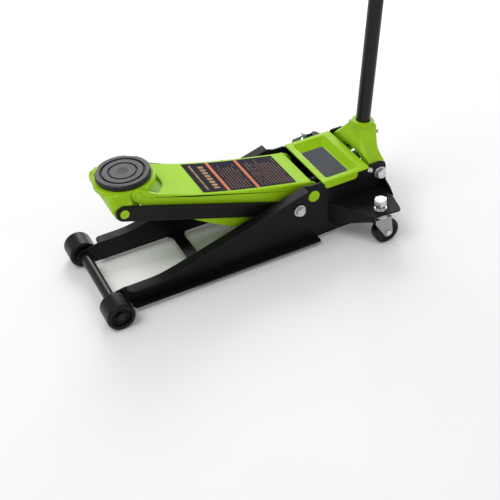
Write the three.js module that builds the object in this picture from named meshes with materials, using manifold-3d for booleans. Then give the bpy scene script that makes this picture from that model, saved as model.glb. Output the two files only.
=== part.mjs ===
// Low-profile hydraulic trolley jack.
// Millimetres, +Z up, -Y towards the saddle end, +X towards the jack's left side.
// Y is laid out from the front axle and shifted at the end by ORIGIN_Y, so that
// the part's origin is the bottom centre of its bounding box.
import * as THREE from 'three';
import { mergeVertices, mergeGeometries } from 'three/addons/utils/BufferGeometryUtils.js';
import Module from 'manifold-3d';

const wasm = await Module();
wasm.setup();

// ---------- driving dimensions ----------
const ORIGIN_Y = 369.54;       // front axle to bounding box centre
const GAP = 0.3;               // running and seating clearance

const PLATE_IN = 83, PLATE_OUT = 87;      // side plate web, inner and outer face
const FLANGE_OUT = 109;                   // outer edge of the plate flanges
const PLATE_T = 3.5;                      // flange thickness

const AXLE_Z = 31;                        // front axle height = front wheel radius
const WHEEL_R = 31, WHEEL_IN = 93, WHEEL_OUT = 145;
const AXLE_R = 12, AXLE_END_R = 8;

const ARM = [480, 120.5];                 // lift arm pivot (Y, Z)
const LINK = [36.5, 24];                  // arm pivot minus link pivot, both ends
const HEAD = [97, 252.2];                 // arm to saddle head pivot
const LINK_REAR = [ARM[0] - LINK[0], ARM[1] - LINK[1]];
const LINK_FRONT = [HEAD[0] - LINK[0], HEAD[1] - LINK[1]];
const ARM_HALF = 69, CHEEK_T = 6;         // lift arm half width and cheek thickness
const EYE_R = 12.5;                       // rounded front ends of the lift arm cheeks
const ARM_PIN_R = 13.5;
const LINK_X0 = 73.4, LINK_X1 = 79.4, LINK_HALF = 17;
const LINK_PIN_R = 9.3, LINK_PIN_CLEAR = 1.2;
const LINK_BOLT_R = 6;

const SADDLE_Y = 92.3, SADDLE_TOP = 276, SADDLE_R = 57;
const SEAT_Z = 262.6;                     // underside of the saddle seat
const SPINDLE_R = 11;

const LUG = [489, 56.1];                  // push roller shaft on the lift arm
const LUG_R = 7, ROLLER_R = 11;
const RAM_Z = 61, RAM_R = 13, RAM_FACE = LUG[0] + ROLLER_R + 0.8;
const CYL_Y0 = 541.6, CYL_Y1 = 638, CYL_R = 36;
const PLUNGER_Y = 666, PLUNGER_TOP = 122.6;

const YOKE = [646.4, 124.3];              // handle socket pivot
const LEAN = 6 * Math.PI / 180;           // handle leans back at rest
const TUBE_R = 16, SOCKET_R = 25, SOCKET_TOP = 88.5;
const PUMP_ROLLER = [20.1, 8.95];         // roller axis in the socket's own frame
const HANDLE_LOW = 32, HANDLE_JOIN = 560, HANDLE_TOP = 1010;

const CASTER = [163.5, 600.5];            // swivel axis (X, Y)
const CASTER_TRAIL = 12.5, CASTER_R = 30, CASTER_W = 22;
const BRACKET_TOP = 90, BRACKET_T = 4;

// ---------- materials ----------
const GREEN = 0x98c814, BLACK = 0x181818;
const mat = (color, roughness, metalness) => new THREE.MeshStandardMaterial({ color, roughness, metalness });
const green = () => mat(GREEN, 0.38, 0.0);
const black = () => mat(BLACK, 0.42, 0.0);
const zinc = () => mat(0xc8c8ca, 0.3, 1.0);
const steel = () => mat(0x8c8f93, 0.35, 1.0);
const chrome = () => mat(0xe2e4e6, 0.12, 1.0);
const rubber = () => mat(0x5c5c5c, 0.85, 0.0);
const plastic = () => mat(0x141414, 0.5, 0.0);

// ---------- solid helpers ----------
function solid(geometry) {
  const g = geometry.clone();
  for (const k of Object.keys(g.attributes)) if (k !== 'position') g.deleteAttribute(k);
  const m = mergeVertices(g, 1e-4);
  return new wasm.Manifold(new wasm.Mesh({
    numProp: 3,
    vertProperties: new Float32Array(m.attributes.position.array),
    triVerts: new Uint32Array(m.index.array),
  }));
}
function geometry(manifold) {
  const m = manifold.getMesh();
  const g = new THREE.BufferGeometry();
  g.setAttribute('position', new THREE.BufferAttribute(new Float32Array(m.vertProperties), 3));
  g.setIndex(new THREE.BufferAttribute(new Uint32Array(m.triVerts), 1));
  g.computeVertexNormals();
  return g;
}
const add = (...s) => s.reduce((a, b) => a.add(b));
const cut = (a, ...s) => s.reduce((x, b) => x.subtract(b), a);

const BASIS_YZ = new THREE.Matrix4().makeBasis(new THREE.Vector3(0, 1, 0), new THREE.Vector3(0, 0, 1), new THREE.Vector3(1, 0, 0));
const BASIS_XZ = new THREE.Matrix4().makeBasis(new THREE.Vector3(1, 0, 0), new THREE.Vector3(0, 0, 1), new THREE.Vector3(0, -1, 0));

function extrude(points, depth, holes = []) {
  const s = new THREE.Shape(points.map(([a, b]) => new THREE.Vector2(a, b)));
  for (const h of holes) s.holes.push(new THREE.Path(h.map(([a, b]) => new THREE.Vector2(a, b))));
  return new THREE.ExtrudeGeometry(s, { depth, bevelEnabled: false, steps: 1 });
}
// outline in (Y, Z), from x0 to x1
function slabX(points, x0, x1, holes) {
  return solid(extrude(points, x1 - x0, holes).translate(0, 0, x0).applyMatrix4(BASIS_YZ));
}
// outline in (X, Z), from y0 to y1
function slabY(points, y0, y1, holes) {
  return solid(extrude(points, y1 - y0, holes).translate(0, 0, -y1).applyMatrix4(BASIS_XZ));
}
// outlines in (X, Z) at several Y stations, all with the same number of points
function loftY(stations) {
  const n = stations[0][1].length, pos = [], tri = [];
  for (const [y, p] of stations) for (const [x, z] of p) pos.push(x, y, z);
  const cap = (p, first, flip) => {
    const v = p.map(([x, z]) => new THREE.Vector2(x, z));
    for (const [a, b, c] of THREE.ShapeUtils.triangulateShape(v, [])) tri.push(...(flip ? [first + a, first + c, first + b] : [first + a, first + b, first + c]));
  };
  const area = THREE.ShapeUtils.area(stations[0][1].map(([x, z]) => new THREE.Vector2(x, z))) > 0;
  cap(stations[0][1], 0, !area);
  cap(stations[stations.length - 1][1], (stations.length - 1) * n, area);
  for (let s = 0; s + 1 < stations.length; s++) for (let i = 0; i < n; i++) {
    const a = s * n + i, b = s * n + (i + 1) % n, c = a + n, d = b + n;
    tri.push(...(area ? [a, c, b, b, c, d] : [a, b, c, b, d, c]));
  }
  return new wasm.Manifold(new wasm.Mesh({ numProp: 3, vertProperties: new Float32Array(pos), triVerts: new Uint32Array(tri) }));
}
// outline in (X, Y), from z0 to z1
function slabZ(points, z0, z1, holes) {
  return solid(extrude(points, z1 - z0, holes).translate(0, 0, z0));
}
const box = (x0, x1, y0, y1, z0, z1) => solid(new THREE.BoxGeometry(x1 - x0, y1 - y0, z1 - z0)
  .translate((x0 + x1) / 2, (y0 + y1) / 2, (z0 + z1) / 2));
// turned piece: profile [radius, height] along +Z, closed on itself or on the axis
function turned(profile, segments = 20) {
  return new THREE.LatheGeometry(profile.map(([r, h]) => new THREE.Vector2(Math.max(r, 0), h)), segments).rotateX(Math.PI / 2);
}
const alongX = (profile, y, z, segments) => solid(turned(profile, segments).rotateY(Math.PI / 2).translate(0, y, z));
const alongY = (profile, x, z, segments) => solid(turned(profile, segments).rotateX(-Math.PI / 2).translate(x, 0, z));
const alongZ = (profile, x, y, segments) => solid(turned(profile, segments).translate(x, y, 0));
const rod = (r, h0, h1) => [[0, h0], [r, h0], [r, h1], [0, h1]];
const ring = (ri, ro, h0, h1) => [[ri, h0], [ro, h0], [ro, h1], [ri, h1], [ri, h0]];
const stepped = (list) => {              // [radius, h0, h1] stations stacked along one axis
  const p = [[0, list[0][1]]];
  for (const [r, a, b] of list) p.push([r, a], [r, b]);
  p.push([0, list[list.length - 1][2]]);
  return p.filter((q, i) => i === 0 || q[0] !== p[i - 1][0] || q[1] !== p[i - 1][1]);
};
function arc(cx, cy, r, a0, a1, n = 8) {
  const out = [];
  for (let i = 0; i <= n; i++) {
    const t = (a0 + (a1 - a0) * i / n) * Math.PI / 180;
    out.push([cx + r * Math.cos(t), cy + r * Math.sin(t)]);
  }
  return out;
}
const mirrorX = (m) => m.mirror([1, 0, 0]);

const model = new THREE.Group();
model.position.set(0, -ORIGIN_Y, 0);
function piece(name, manifold, material) {
  const mesh = new THREE.Mesh(geometry(manifold), material);
  mesh.name = name;
  model.add(mesh);
  return mesh;
}
// makes NAME_left from a piece built on the +X side, and NAME_right as its mirror image
function pair(name, manifold, material) {
  piece(`${name}_left`, manifold, material());
  piece(`${name}_right`, mirrorX(manifold), material());
}
// hexagonal head along +X
const hexX = (acrossCorners, x0, x1, y, z) => alongX(rod(acrossCorners / 2, x0, x1), y, z, 6);

// ---------- chassis side plates ----------
const topLine = [[33, 57], [92, 58], [118, 61], [150, 68.5], [455, 154.5]];
const web = [
  ...arc(0, AXLE_Z, 19, 270, 100, 8).map(p => p),
  ...topLine,
  [470, 149.5], [498, 149.5], [501, 146], [618, 146], [621, 152.5], [646, 153],
  ...arc(646, 137, 16, 80, 0, 4),
  [662, 72], [640, 26], [622, 12], [592, 12],
  ...arc(581, 18.5, 10, -30, -150, 3),
  [560, 12], [484, 10],
];
function sidePlate() {
  const flangeTop = slabX([...topLine, ...[...topLine].reverse().map(([y, z], i) => [i === 0 ? y + 1 : y, z - PLATE_T])], PLATE_IN + 1, FLANGE_OUT);
  const plan = slabZ([[PLATE_IN, 20], [PLATE_OUT, 33], [FLANGE_OUT - 14, 34], ...arc(FLANGE_OUT - 14, 48, 14, -90, 0, 4).slice(1), [FLANGE_OUT, 452], [FLANGE_OUT - 4, 456], [PLATE_IN, 462]], 0, 200);
  const flangeBottom = slabZ([[PLATE_IN + 1, 38], [FLANGE_OUT - 8, 39], ...arc(FLANGE_OUT - 8, 47, 8, -90, 0, 3).slice(1), [FLANGE_OUT, 480], [FLANGE_OUT - 4, 484], [PLATE_IN + 1, 484]], 10, 10 + PLATE_T);
  let p = add(slabX(web, PLATE_IN, PLATE_OUT), flangeTop.intersect(plan), flangeBottom);
  const hole = (r, [y, z], n = 20) => alongX(rod(r, PLATE_IN - 2, PLATE_OUT + 2), y, z, n);
  return cut(p, hole(AXLE_END_R + GAP, [0, AXLE_Z]), hole(ARM_PIN_R + GAP, ARM, 28), hole(LINK_BOLT_R + GAP, LINK_REAR),
    hole(7 + GAP, YOKE), hole(4 + GAP, [620.5, 138.5], 12), hole(6 + GAP, [581, 18.5], 16));
}
pair('side_plate', sidePlate(), black);

// flat front tie bar with flared, welded ends
{
  const x = PLATE_IN - GAP;
  piece('cross_bar', slabZ([[-x, 192], ...arc(-x + 9, 192, 9, 180, 90, 3).slice(1).map(([a, b]) => [a, b]), [x - 9, 201], [x, 192],
    [x, 237], [x - 9, 228], [-x + 9, 228], [-x, 237]], 10, 10 + PLATE_T), black());
}

// front axle: thick centre bar, turned-down ends that carry the wheels
piece('front_axle', alongX(stepped([[6, -143, -138], [AXLE_END_R, -138, -PLATE_IN + GAP], [AXLE_R, -PLATE_IN + GAP, PLATE_IN - GAP], [AXLE_END_R, PLATE_IN - GAP, 138], [6, 138, 143]]), 0, AXLE_Z, 24), black());
pair('axle_nut', cut(hexX(22, 137.6, 142.6, 0, AXLE_Z), alongX(rod(AXLE_END_R + GAP, 136, 138.4), 0, AXLE_Z, 24), alongX(rod(6 + GAP, 136, 144), 0, AXLE_Z, 24)), black);

// front roller wheels: wide tread, dished outer face, short inner hub
const rollerProfile = [[AXLE_END_R + GAP, PLATE_OUT + 0.6], [13, PLATE_OUT + 0.6], [13, WHEEL_IN], [WHEEL_R - 3, WHEEL_IN], [WHEEL_R, WHEEL_IN + 3], [WHEEL_R, WHEEL_OUT - 4], [WHEEL_R - 4, WHEEL_OUT], [WHEEL_R - 8, WHEEL_OUT], [WHEEL_R - 10, WHEEL_OUT - 8], [15, WHEEL_OUT - 8], [15, 137.2], [AXLE_END_R + GAP, 137.2], [AXLE_END_R + GAP, PLATE_OUT + 0.6]];
pair('front_wheel', alongX(rollerProfile, 0, AXLE_Z, 28), plastic);

// rear tie rod between the side plates, with upset ends outside them
piece('rear_tie_rod', alongX(stepped([[8, -PLATE_OUT - 4, -PLATE_OUT - GAP], [6, -PLATE_OUT - GAP, -PLATE_IN + GAP], [5.9, -PLATE_IN + GAP, PLATE_IN - GAP], [6, PLATE_IN - GAP, PLATE_OUT + GAP], [8, PLATE_OUT + GAP, PLATE_OUT + 4]]), 581, 18.5, 16), black());

// ---------- caster outriggers ----------
{
  const x0 = PLATE_OUT + GAP, zt = BRACKET_TOP, zb = BRACKET_TOP - BRACKET_T;
  const plan = [[x0, 517], [98, 520], [181, 569], ...arc(182, 579, 8, -60, 0, 3), ...arc(183, 634, 7, 0, 80, 3), [x0, 661]];
  const top = slabZ(plan, zb, zt);
  // front gusset below the plate, deep at the chassis and shallow at the outer end
  const a = new THREE.Vector2(98, 521), b = new THREE.Vector2(186, 573), d = b.clone().sub(a), len = d.length(); d.normalize();
  const gusset = solid(extrude([[-10, 38], [4, 38], [len, 77], [len, zt - 1], [-10, zt - 1]], BRACKET_T)
    .applyMatrix4(new THREE.Matrix4().makeBasis(new THREE.Vector3(d.x, d.y, 0), new THREE.Vector3(0, 0, 1), new THREE.Vector3(d.y, -d.x, 0)))
    .translate(a.x - d.y * BRACKET_T, a.y + d.x * BRACKET_T, 0));
  const foot = slabX([[519, 95], [519, 34], [540, 30], [640, 44], [660, 72], [660, 113], [656, 110.5], [652, 109], [648, zt - 0.5], [552, zt - 0.5], [547, 95]], x0, x0 + BRACKET_T);
  const back = slabY([[x0, zb + 1], [180, zb + 1], [180, zt], [136, zt + 0.4], [97, 109], [x0, 109]], 652, 656);
  const clip = slabX([[400, 0], [700, 0], [700, 200], [400, 200]], x0, 300);
  let br = add(top, gusset.intersect(clip), foot, back.intersect(slabZ([[x0, 500], [190, 500], [190, 642], [x0, 661]], 0, 200)));
  br = cut(br, alongZ(rod(6 + GAP, 0, 200), ...CASTER, 20), alongX(rod(9.6, 80, 110), 581, 18.5, 16));
  pair('caster_bracket', br, black);
}
const bolt = alongZ(stepped([[9, 63.4, 67.6], [6, 67.6, 90 + GAP], [14.5, 90 + GAP, 92.6], [10.5, 92.6, 103]]), ...CASTER, 24);
const boltHead = solid(turned(rod(15, 102.5, 115), 6).rotateZ(Math.PI / 6).translate(...CASTER, 0));
pair('caster_bolt', add(bolt, boltHead), zinc);
pair('swivel_bearing', alongZ(ring(6 + GAP, 17, 72.4, 85.7), ...CASTER, 24), zinc);
{
  const [cx, cy] = CASTER, wy = cy + CASTER_TRAIL, wz = CASTER_R;
  const cheek = [[cy - 20, 72], [cy - 20, 63], ...arc(wy, wz, 11, 205, 360, 7), [cy + 20, 63], [cy + 20, 72]];
  const inner = CASTER_W / 2 + 1.5, outer = inner + 3;
  let fork = add(slabX(cheek, cx - outer, cx - inner), slabX(cheek, cx + inner, cx + outer), box(cx - outer, cx + outer, cy - 20, cy + 20, 68, 72));
  fork = cut(fork, alongZ(rod(6 + GAP, 60, 80), cx, cy, 20), alongX(rod(4 + GAP, cx - 30, cx + 30), wy, wz, 16));
  pair('caster_fork', fork, zinc);
  const axle = alongX(stepped([[6.5, cx - outer - 2.8, cx - outer - GAP], [4, cx - outer - GAP, cx + outer + GAP], [6.5, cx + outer + GAP, cx + outer + 2.8]]), wy, wz, 16);
  pair('caster_axle', axle, zinc);
  const w = CASTER_W / 2;
  pair('caster_wheel', alongX([[4 + GAP, cx - w], [CASTER_R - 4, cx - w], [CASTER_R, cx - w + 4], [CASTER_R, cx + w - 4], [CASTER_R - 4, cx + w], [4 + GAP, cx + w], [4 + GAP, cx - w]], wy, wz, 24), plastic);
}

// ---------- lift arm ----------
const armTop = [[120, 243.5], [133, 241.5], [167, 229.8], [205, 215], [239, 203.8], [316, 182.8], [380, 168], [453, 152.6], [484, 147.5]];
{
  const cheek = [
    ...arc(HEAD[0], HEAD[1], EYE_R, 235, 75, 8), [125, 250], [140, 240.5], ...armTop.slice(2).map(([y, z]) => [y, z - 1]),
    ...arc(ARM[0], ARM[1], 24, 72, 0, 4),
    [504, 70], ...arc(LUG[0], LUG[1], 13.5, 10, -110, 6),
    [420, 58], [350, 78], [305, 94], [231, 137], [160, 184], [112, 214],
  ];
  const x = ARM_HALF, t = CHEEK_T;
  const plate = slabX([...armTop, ...[...armTop].reverse().map(([y, z]) => [y, z - 4.5])], -x, x);
  const notch = alongZ(rod(76, 150, 300), 0, SADDLE_Y, 40);
  const keep = box(-x + t, x - t, 0, 170, 150, 300);
  let arm = add(cut(plate, notch.intersect(keep)), slabX(cheek, -x, -x + t), slabX(cheek, x - t, x));
  // curved wall and floor that close the pocket round the saddle
  const under = slabX([...armTop.slice(0, 3).map(([y, z]) => [y, z - 1]), [193.4, 218.5], [120, 218.5]], -x + t - 0.5, x - t + 0.5);
  const wall = alongZ(ring(74.3, 78, 218.5, 300), 0, SADDLE_Y, 40).intersect(box(-x + 1, x - 1, 125, 300, 200, 300)).intersect(under);
  const floor = alongZ(rod(77, 218.5, 222), 0, SADDLE_Y, 40).intersect(box(-x + t - 0.5, x - t + 0.5, 132, 300, 200, 300));
  arm = add(arm, wall, floor);
  // closing web across the rear and a stiffener across the belly
  arm = add(arm, box(-x + 1, x - 1, 332, 338, 88, 178), slabX([[424, 62], [430, 60], [430, 70], [424, 72]], -x + 1, x - 1));
  arm = cut(arm, alongX(rod(8 + GAP, -80, 80), ...HEAD, 20), alongX(rod(ARM_PIN_R + GAP, -80, 80), ...ARM, 28), alongX(rod(LUG_R + GAP, -80, 80), ...LUG, 20));
  piece('lift_arm', arm, green());
}
// printed label, a thin sheet on the arm's top between the knee and the rear
{
  const seg = [[237, 204.55], [316, 183.1], [380, 168.3], [452, 153.1]];
  piece('arm_label', slabX([...seg.map(([y, z]) => [y, z + 0.35]), ...[...seg].reverse().map(([y, z]) => [y, z + 0.75])], -60.5, 60.5), mat(0x191428, 0.4, 0));
}
piece('arm_pivot_shaft', alongX(rod(ARM_PIN_R, -88.5, 88.5), ...ARM, 28), green());
piece('lug_shaft', alongX(rod(LUG_R, -70.5, 70.5), ...LUG, 20), steel());
piece('push_roller', alongX(ring(LUG_R + GAP, ROLLER_R, -22, 22), ...LUG, 24), steel());

// ---------- levelling links ----------
{
  const [y1, z1] = LINK_FRONT, [y0, z0] = LINK_REAR;
  const a = Math.atan2(z1 - z0, y1 - y0) * 180 / Math.PI;
  const outline = [...arc(y1, z1, LINK_HALF, a - 90, a + 90, 10), ...arc(y0, z0, LINK_HALF, a + 90, a + 270, 10)];
  let bar = slabX(outline, LINK_X0, LINK_X1);
  bar = cut(bar, alongX(rod(LINK_PIN_R + LINK_PIN_CLEAR, 60, 90), y1, z1, 24), alongX(rod(LINK_BOLT_R + GAP, 60, 90), y0, z0, 20));
  bar = add(bar, alongX(ring(LINK_BOLT_R + GAP, 12, LINK_X1 - 0.5, PLATE_IN - GAP), y0, z0, 20));
  pair('link_bar', bar, black);
  const b = alongX(stepped([[LINK_BOLT_R, LINK_X0 - 1.5, PLATE_OUT + GAP], [14, PLATE_OUT + GAP, PLATE_OUT + 2.8]]), y0, z0, 20);
  pair('link_bolt', add(b, hexX(22.5, PLATE_OUT + 2.5, PLATE_OUT + 10, y0, z0)), zinc);
}

// ---------- saddle head ----------
{
  const [ly, lz] = LINK_FRONT, [hy, hz] = HEAD, top = SEAT_Z - 0.5;
  const sides = slabY([[-71.6, 190], [71.6, 190], [71.6, 240], [56.5, 262.5], [-56.5, 262.5], [-71.6, 240]], 30, 90);
  const wide = cut(slabX([[39, 229], ...arc(ly, lz, 19.5, 170, 325, 8), [81.5, 231], [81.5, top - 1], [44, top - 1], [39, 254]], -71.6, 71.6).intersect(sides),
    alongX(rod(EYE_R + 0.8, -80, -61), hy, hz, 32), alongX(rod(EYE_R + 0.8, 61, 80), hy, hz, 32));
  const half = ARM_HALF - CHEEK_T - 0.6;
  const block = slabX([[60, 214], [90, 222], [118, 236], [122, 248], [122, top], [50, top], [50, 214]], -half, half);
  const boss = alongZ(stepped([[60, 246, 249], [64, 249, top]]), 0, SADDLE_Y, 40).intersect(box(-half, half, 0, 200, 200, 300));
  let head = add(wide, block, boss);
  head = cut(head, alongX(rod(LINK_PIN_R + GAP, -90, 90), ly, lz, 24), alongX(rod(8 + GAP, -90, -38), hy, hz, 20), alongX(rod(8 + GAP, 38, 90), hy, hz, 20),
    alongZ(rod(SPINDLE_R + GAP, 200, 300), 0, SADDLE_Y, 24),
    box(-30, 30, 84, 140, 200, 236));
  piece('saddle_head', head, green());
  pair('head_pin', alongX(rod(8, 39, 71), hy, hz, 20), green);
  piece('link_pin', alongX(rod(LINK_PIN_R, -82, 82), ly, lz, 24), green());
}
piece('saddle_seat', alongZ([[0, 238], [SPINDLE_R, 238], [SPINDLE_R, SEAT_Z], [52, SEAT_Z], [53, SEAT_Z + 1], [53, 268], [0, 268]], 0, SADDLE_Y, 32), steel());
piece('saddle_pad', alongZ([[0, 268.3], [53.3, 268.3], [53.3, SEAT_Z + 0.4], [SADDLE_R - 1, SEAT_Z + 0.4], [SADDLE_R, SEAT_Z + 1.5], [SADDLE_R, SADDLE_TOP - 1.5], [SADDLE_R - 1.5, SADDLE_TOP],
  [0, SADDLE_TOP]], 0, SADDLE_Y, 36), rubber());

// ---------- hydraulic unit ----------
{
  let head = add(box(-30, 30, RAM_FACE, RAM_FACE + 13, 40, 82), box(-54, 54, RAM_FACE + 2, RAM_FACE + 11, 52, 70));
  head = add(head, alongY(rod(RAM_R, RAM_FACE + 12, 598), 0, RAM_Z, 20));
  piece('ram', head, chrome());
  const cyl = cut(alongY([[0, CYL_Y0], [26, CYL_Y0], [28, CYL_Y0 + 4], [28, CYL_Y0 + 10], [CYL_R, CYL_Y0 + 13], [CYL_R, CYL_Y1 - 3], [0, CYL_Y1 - 3]], 0, RAM_Z, 28),
    alongY(rod(RAM_R + GAP, CYL_Y0 - 5, 627), 0, RAM_Z, 20), alongZ(rod(6 + GAP, RAM_Z + 30, RAM_Z + 60), 0, 590, 12));
  piece('hydraulic_cylinder', cyl, black());
  piece('filler_plug', alongZ(stepped([[6, RAM_Z + 32, RAM_Z + CYL_R + GAP], [8.5, RAM_Z + CYL_R + GAP, RAM_Z + CYL_R + 4]]), 0, 590, 12), plastic());
  // pump block behind the cylinder: pump barrel, release valve seat and spring ears
  let block = add(box(-40, 40, CYL_Y1 - 2.6, 686, 30, 92), box(-56, 56, CYL_Y1 - 2.6, CYL_Y1 + 12, 50, 72));
  block = add(block, alongZ(rod(11, 90, 95), 0, PLUNGER_Y, 16), box(17, 38, 645, 684, 90, 110), box(-38, -17, 645, 684, 90, 110));
  block = cut(block, alongZ(rod(6 + GAP, 47, 120), 0, PLUNGER_Y, 16), alongZ(rod(5 + GAP, 70, 120), 0, YOKE[0], 16));
  piece('pump_block', block, black());
  // steady blocks that tie the hydraulic unit to the side plates
  pair('unit_mount', box(40.3, PLATE_IN - GAP, 632, 644, 36, 48), black);
  piece('pump_plunger', alongZ(stepped([[6, 74, PLUNGER_TOP - 4], [8, PLUNGER_TOP - 4, PLUNGER_TOP]]), 0, PLUNGER_Y, 16), chrome());
  piece('release_valve', alongZ(stepped([[5, 72, 92 + GAP], [8.5, 92 + GAP, 101], [5.5, 101, 112]]), 0, YOKE[0], 16), zinc());
  pair('return_spring', alongY(ring(5.5, 8, RAM_FACE + 11.4, CYL_Y1 - 3), 47, RAM_Z, 12), steel);
}

// ---------- rear cover and tray ----------
{
  const x1 = 90, z = 150, t = 2.5;
  const outer = slabY([[-x1, 149], [-x1, 131.5], [-PLATE_OUT - GAP, 131.5], [-PLATE_OUT - GAP, 146.4], [PLATE_OUT + GAP, 146.4], [PLATE_OUT + GAP, 131.5], [x1, 131.5], [x1, 149], [x1 - 1.2, z], [-x1 + 1.2, z]], 502, 617.5);
  let cover = outer;
  // skirts are shorter than the top
  cover = cut(cover, box(-100, -PLATE_OUT + 1, 588, 640, 100, 146.2), box(PLATE_OUT - 1, 100, 588, 640, 100, 146.2), box(-100, -PLATE_OUT + 1, 490, 506, 100, 146.2), box(PLATE_OUT - 1, 100, 490, 506, 100, 146.2));
  // well with sloping walls: flat bottom at Z 133.8, opening 154 x 83 at the top
  const tapered = (xb, y0, y1, z0, z1) => slabY([[-xb, z0], [xb, z0], [xb + 1.173 * (z1 - z0), z1], [-xb - 1.173 * (z1 - z0), z1]], 480, 640)
    .intersect(slabX([[y0, z0], [y1, z0], [y1 + 0.802 * (z1 - z0), z1], [y0 - 0.648 * (z1 - z0), z1]], -100, 100));
  cover = add(cover, tapered(59.5, 525.2, 587.4, 131.6, 148.5));
  cover = cut(cover, tapered(58, 526.5, 586, 133.8, 152));
  piece('cover_plate', cover, green());
  piece('tray_mat', box(-57, 57, 527.5, 583, 134.1, 135.6), mat(0x4a4c58, 0.7, 0));
}

// ---------- handle socket and handle ----------
const socketGroup = new THREE.Group();      // local frame: pivot at the origin, +Z up the handle
socketGroup.position.set(0, YOKE[0], YOKE[1]);
socketGroup.rotation.x = -LEAN;
model.add(socketGroup);
function onSocket(name, manifold, material) {
  const mesh = new THREE.Mesh(geometry(manifold), material);
  mesh.name = name;
  socketGroup.add(mesh);
}
{
  const xo = PLATE_IN - 0.8;
  const arch = [[0, 27], [20, 26.5], [32, 23], [42, 15], [44, 5], [44, -15]];
  const outline = (outer) => {
    const half = [...arch, ...outer, [0, 82]];
    return [...half, ...[...half].reverse().slice(1, -1).map(([x, z]) => [-x, z])];
  };
  const body = loftY([
    [-34, outline([[xo - 7, -15], [xo - 7, 12], [61, 27], [42, 44], [20, 68], [20, 82]])],
    [-23, outline([[xo, -15], [xo, 17], [67, 32], [47, 51], [22.5, 74], [22, 82]])],
    [23, outline([[xo, -15], [xo, 17], [62, 24], [40, 34], [25, 62], [22, 82]])],
  ]);
  const side = slabX([[-16, -8], ...arc(0, 0, 16, 210, 330, 6), [16, -8], [17, 26], [22, 60], [22, 84], [-22, 84], [-23, 66], [-30, 50], [-31, 40], [-24, 24], [-20, 6]], -100, 100);
  let yoke = body.intersect(side);
  const lockAt = (m) => m.rotate([0, 0, 66]).translate([0, 0, 60]);
  yoke = add(yoke, alongZ(stepped([[22.5, 56, 78], [SOCKET_R, 78, SOCKET_TOP]]), 0, 0, 28), lockAt(alongX(rod(8, 18, 27), 0, 0, 16)));
  const finger = [[4, 52], [20, 60], [27.5, 14], [25, 3], [15, 3], [12.5, 12], [2, 46]];
  yoke = add(yoke, slabX(finger, 8, 12.5), slabX(finger, -12.5, -8));
  yoke = cut(yoke, alongZ(rod(TUBE_R + 0.4, 30, 120), 0, 0, 28), alongX(rod(7 + GAP, -100, 100), 0, 0, 20),
    alongZ(rod(6.6, 0, 40), 0, 0, 20), lockAt(alongX(rod(2.8 + GAP, 0, 60), 0, 0, 12)),
    alongX(rod(3 + GAP, -20, 20), ...PUMP_ROLLER, 12));
  onSocket('handle_socket', yoke, green());
  const lock = lockAt(add(alongX(rod(2.8, TUBE_R + 0.7, 36), 0, 0, 12), alongX(rod(6.5, 27 + GAP, 30.8), 0, 0, 6), alongX(rod(5, 33.5, 37), 0, 0, 12)));
  onSocket('handle_lock_bolt', lock, zinc());
  onSocket('pump_roller', alongX(stepped([[3, -13, -7.5], [7, -7.5, 7.5], [3, 7.5, 13]]), ...PUMP_ROLLER, 16), steel());
}
{
  const z = HANDLE_LOW, j = HANDLE_JOIN, t = HANDLE_TOP;
  onSocket('valve_shaft', alongZ(stepped([[6, -8, 8], [4.5, 8, 34], [13.6, 34, 40]]), 0, 0, 16), steel());
  onSocket('handle_tube_lower', alongZ([[14.2, z], [TUBE_R, z], [TUBE_R, j], [14.2, j], [14.2, z]], 0, 0, 20), black());
  onSocket('handle_tube_upper', alongZ([[11.5, j - 60], [13.9, j - 60], [13.9, j + GAP], [TUBE_R, j + 1.5], [TUBE_R, j + 14], [13.9, j + 18], [13.9, t - 4], [11.5, t - 4], [11.5, j - 60]], 0, 0, 20), black());
  onSocket('handle_grip', alongZ([[14.2, t - 150], [17.5, t - 150], [18.5, t - 146], [18.5, t - 3], [14.2, t - 3], [14.2, t - 150]], 0, 0, 20), rubber());
  onSocket('handle_end_cap', alongZ(stepped([[11.2, t - 20, t - 2.7], [18, t - 2.7, t + 2], [16, t + 2, t + 4]]), 0, 0, 20), plastic());
}
// socket pivot bolts and the small cover stop bolts beside them
{
  const b = alongX(stepped([[7, 61, PLATE_OUT + GAP], [15, PLATE_OUT + GAP, PLATE_OUT + 2.8]]), ...YOKE, 20);
  pair('socket_bolt', add(b, hexX(25, PLATE_OUT + 2.5, PLATE_OUT + 11, ...YOKE)), zinc);
  const s = add(alongX(rod(4, PLATE_IN + 0.2, PLATE_OUT + 1), 620.5, 138.5, 12), hexX(15, PLATE_OUT + GAP, PLATE_OUT + 6, 620.5, 138.5));
  pair('stop_bolt', s, zinc);
}

export default model;
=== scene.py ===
"""Looks of the low-profile trolley jack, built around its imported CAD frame.

Design coordinates below are the CAD source's: millimetres, Y from the front axle.
done() turns a piece into the row frame, in metres.
"""

import math

import bmesh
import bpy
from mathutils import Matrix, Vector


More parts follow.
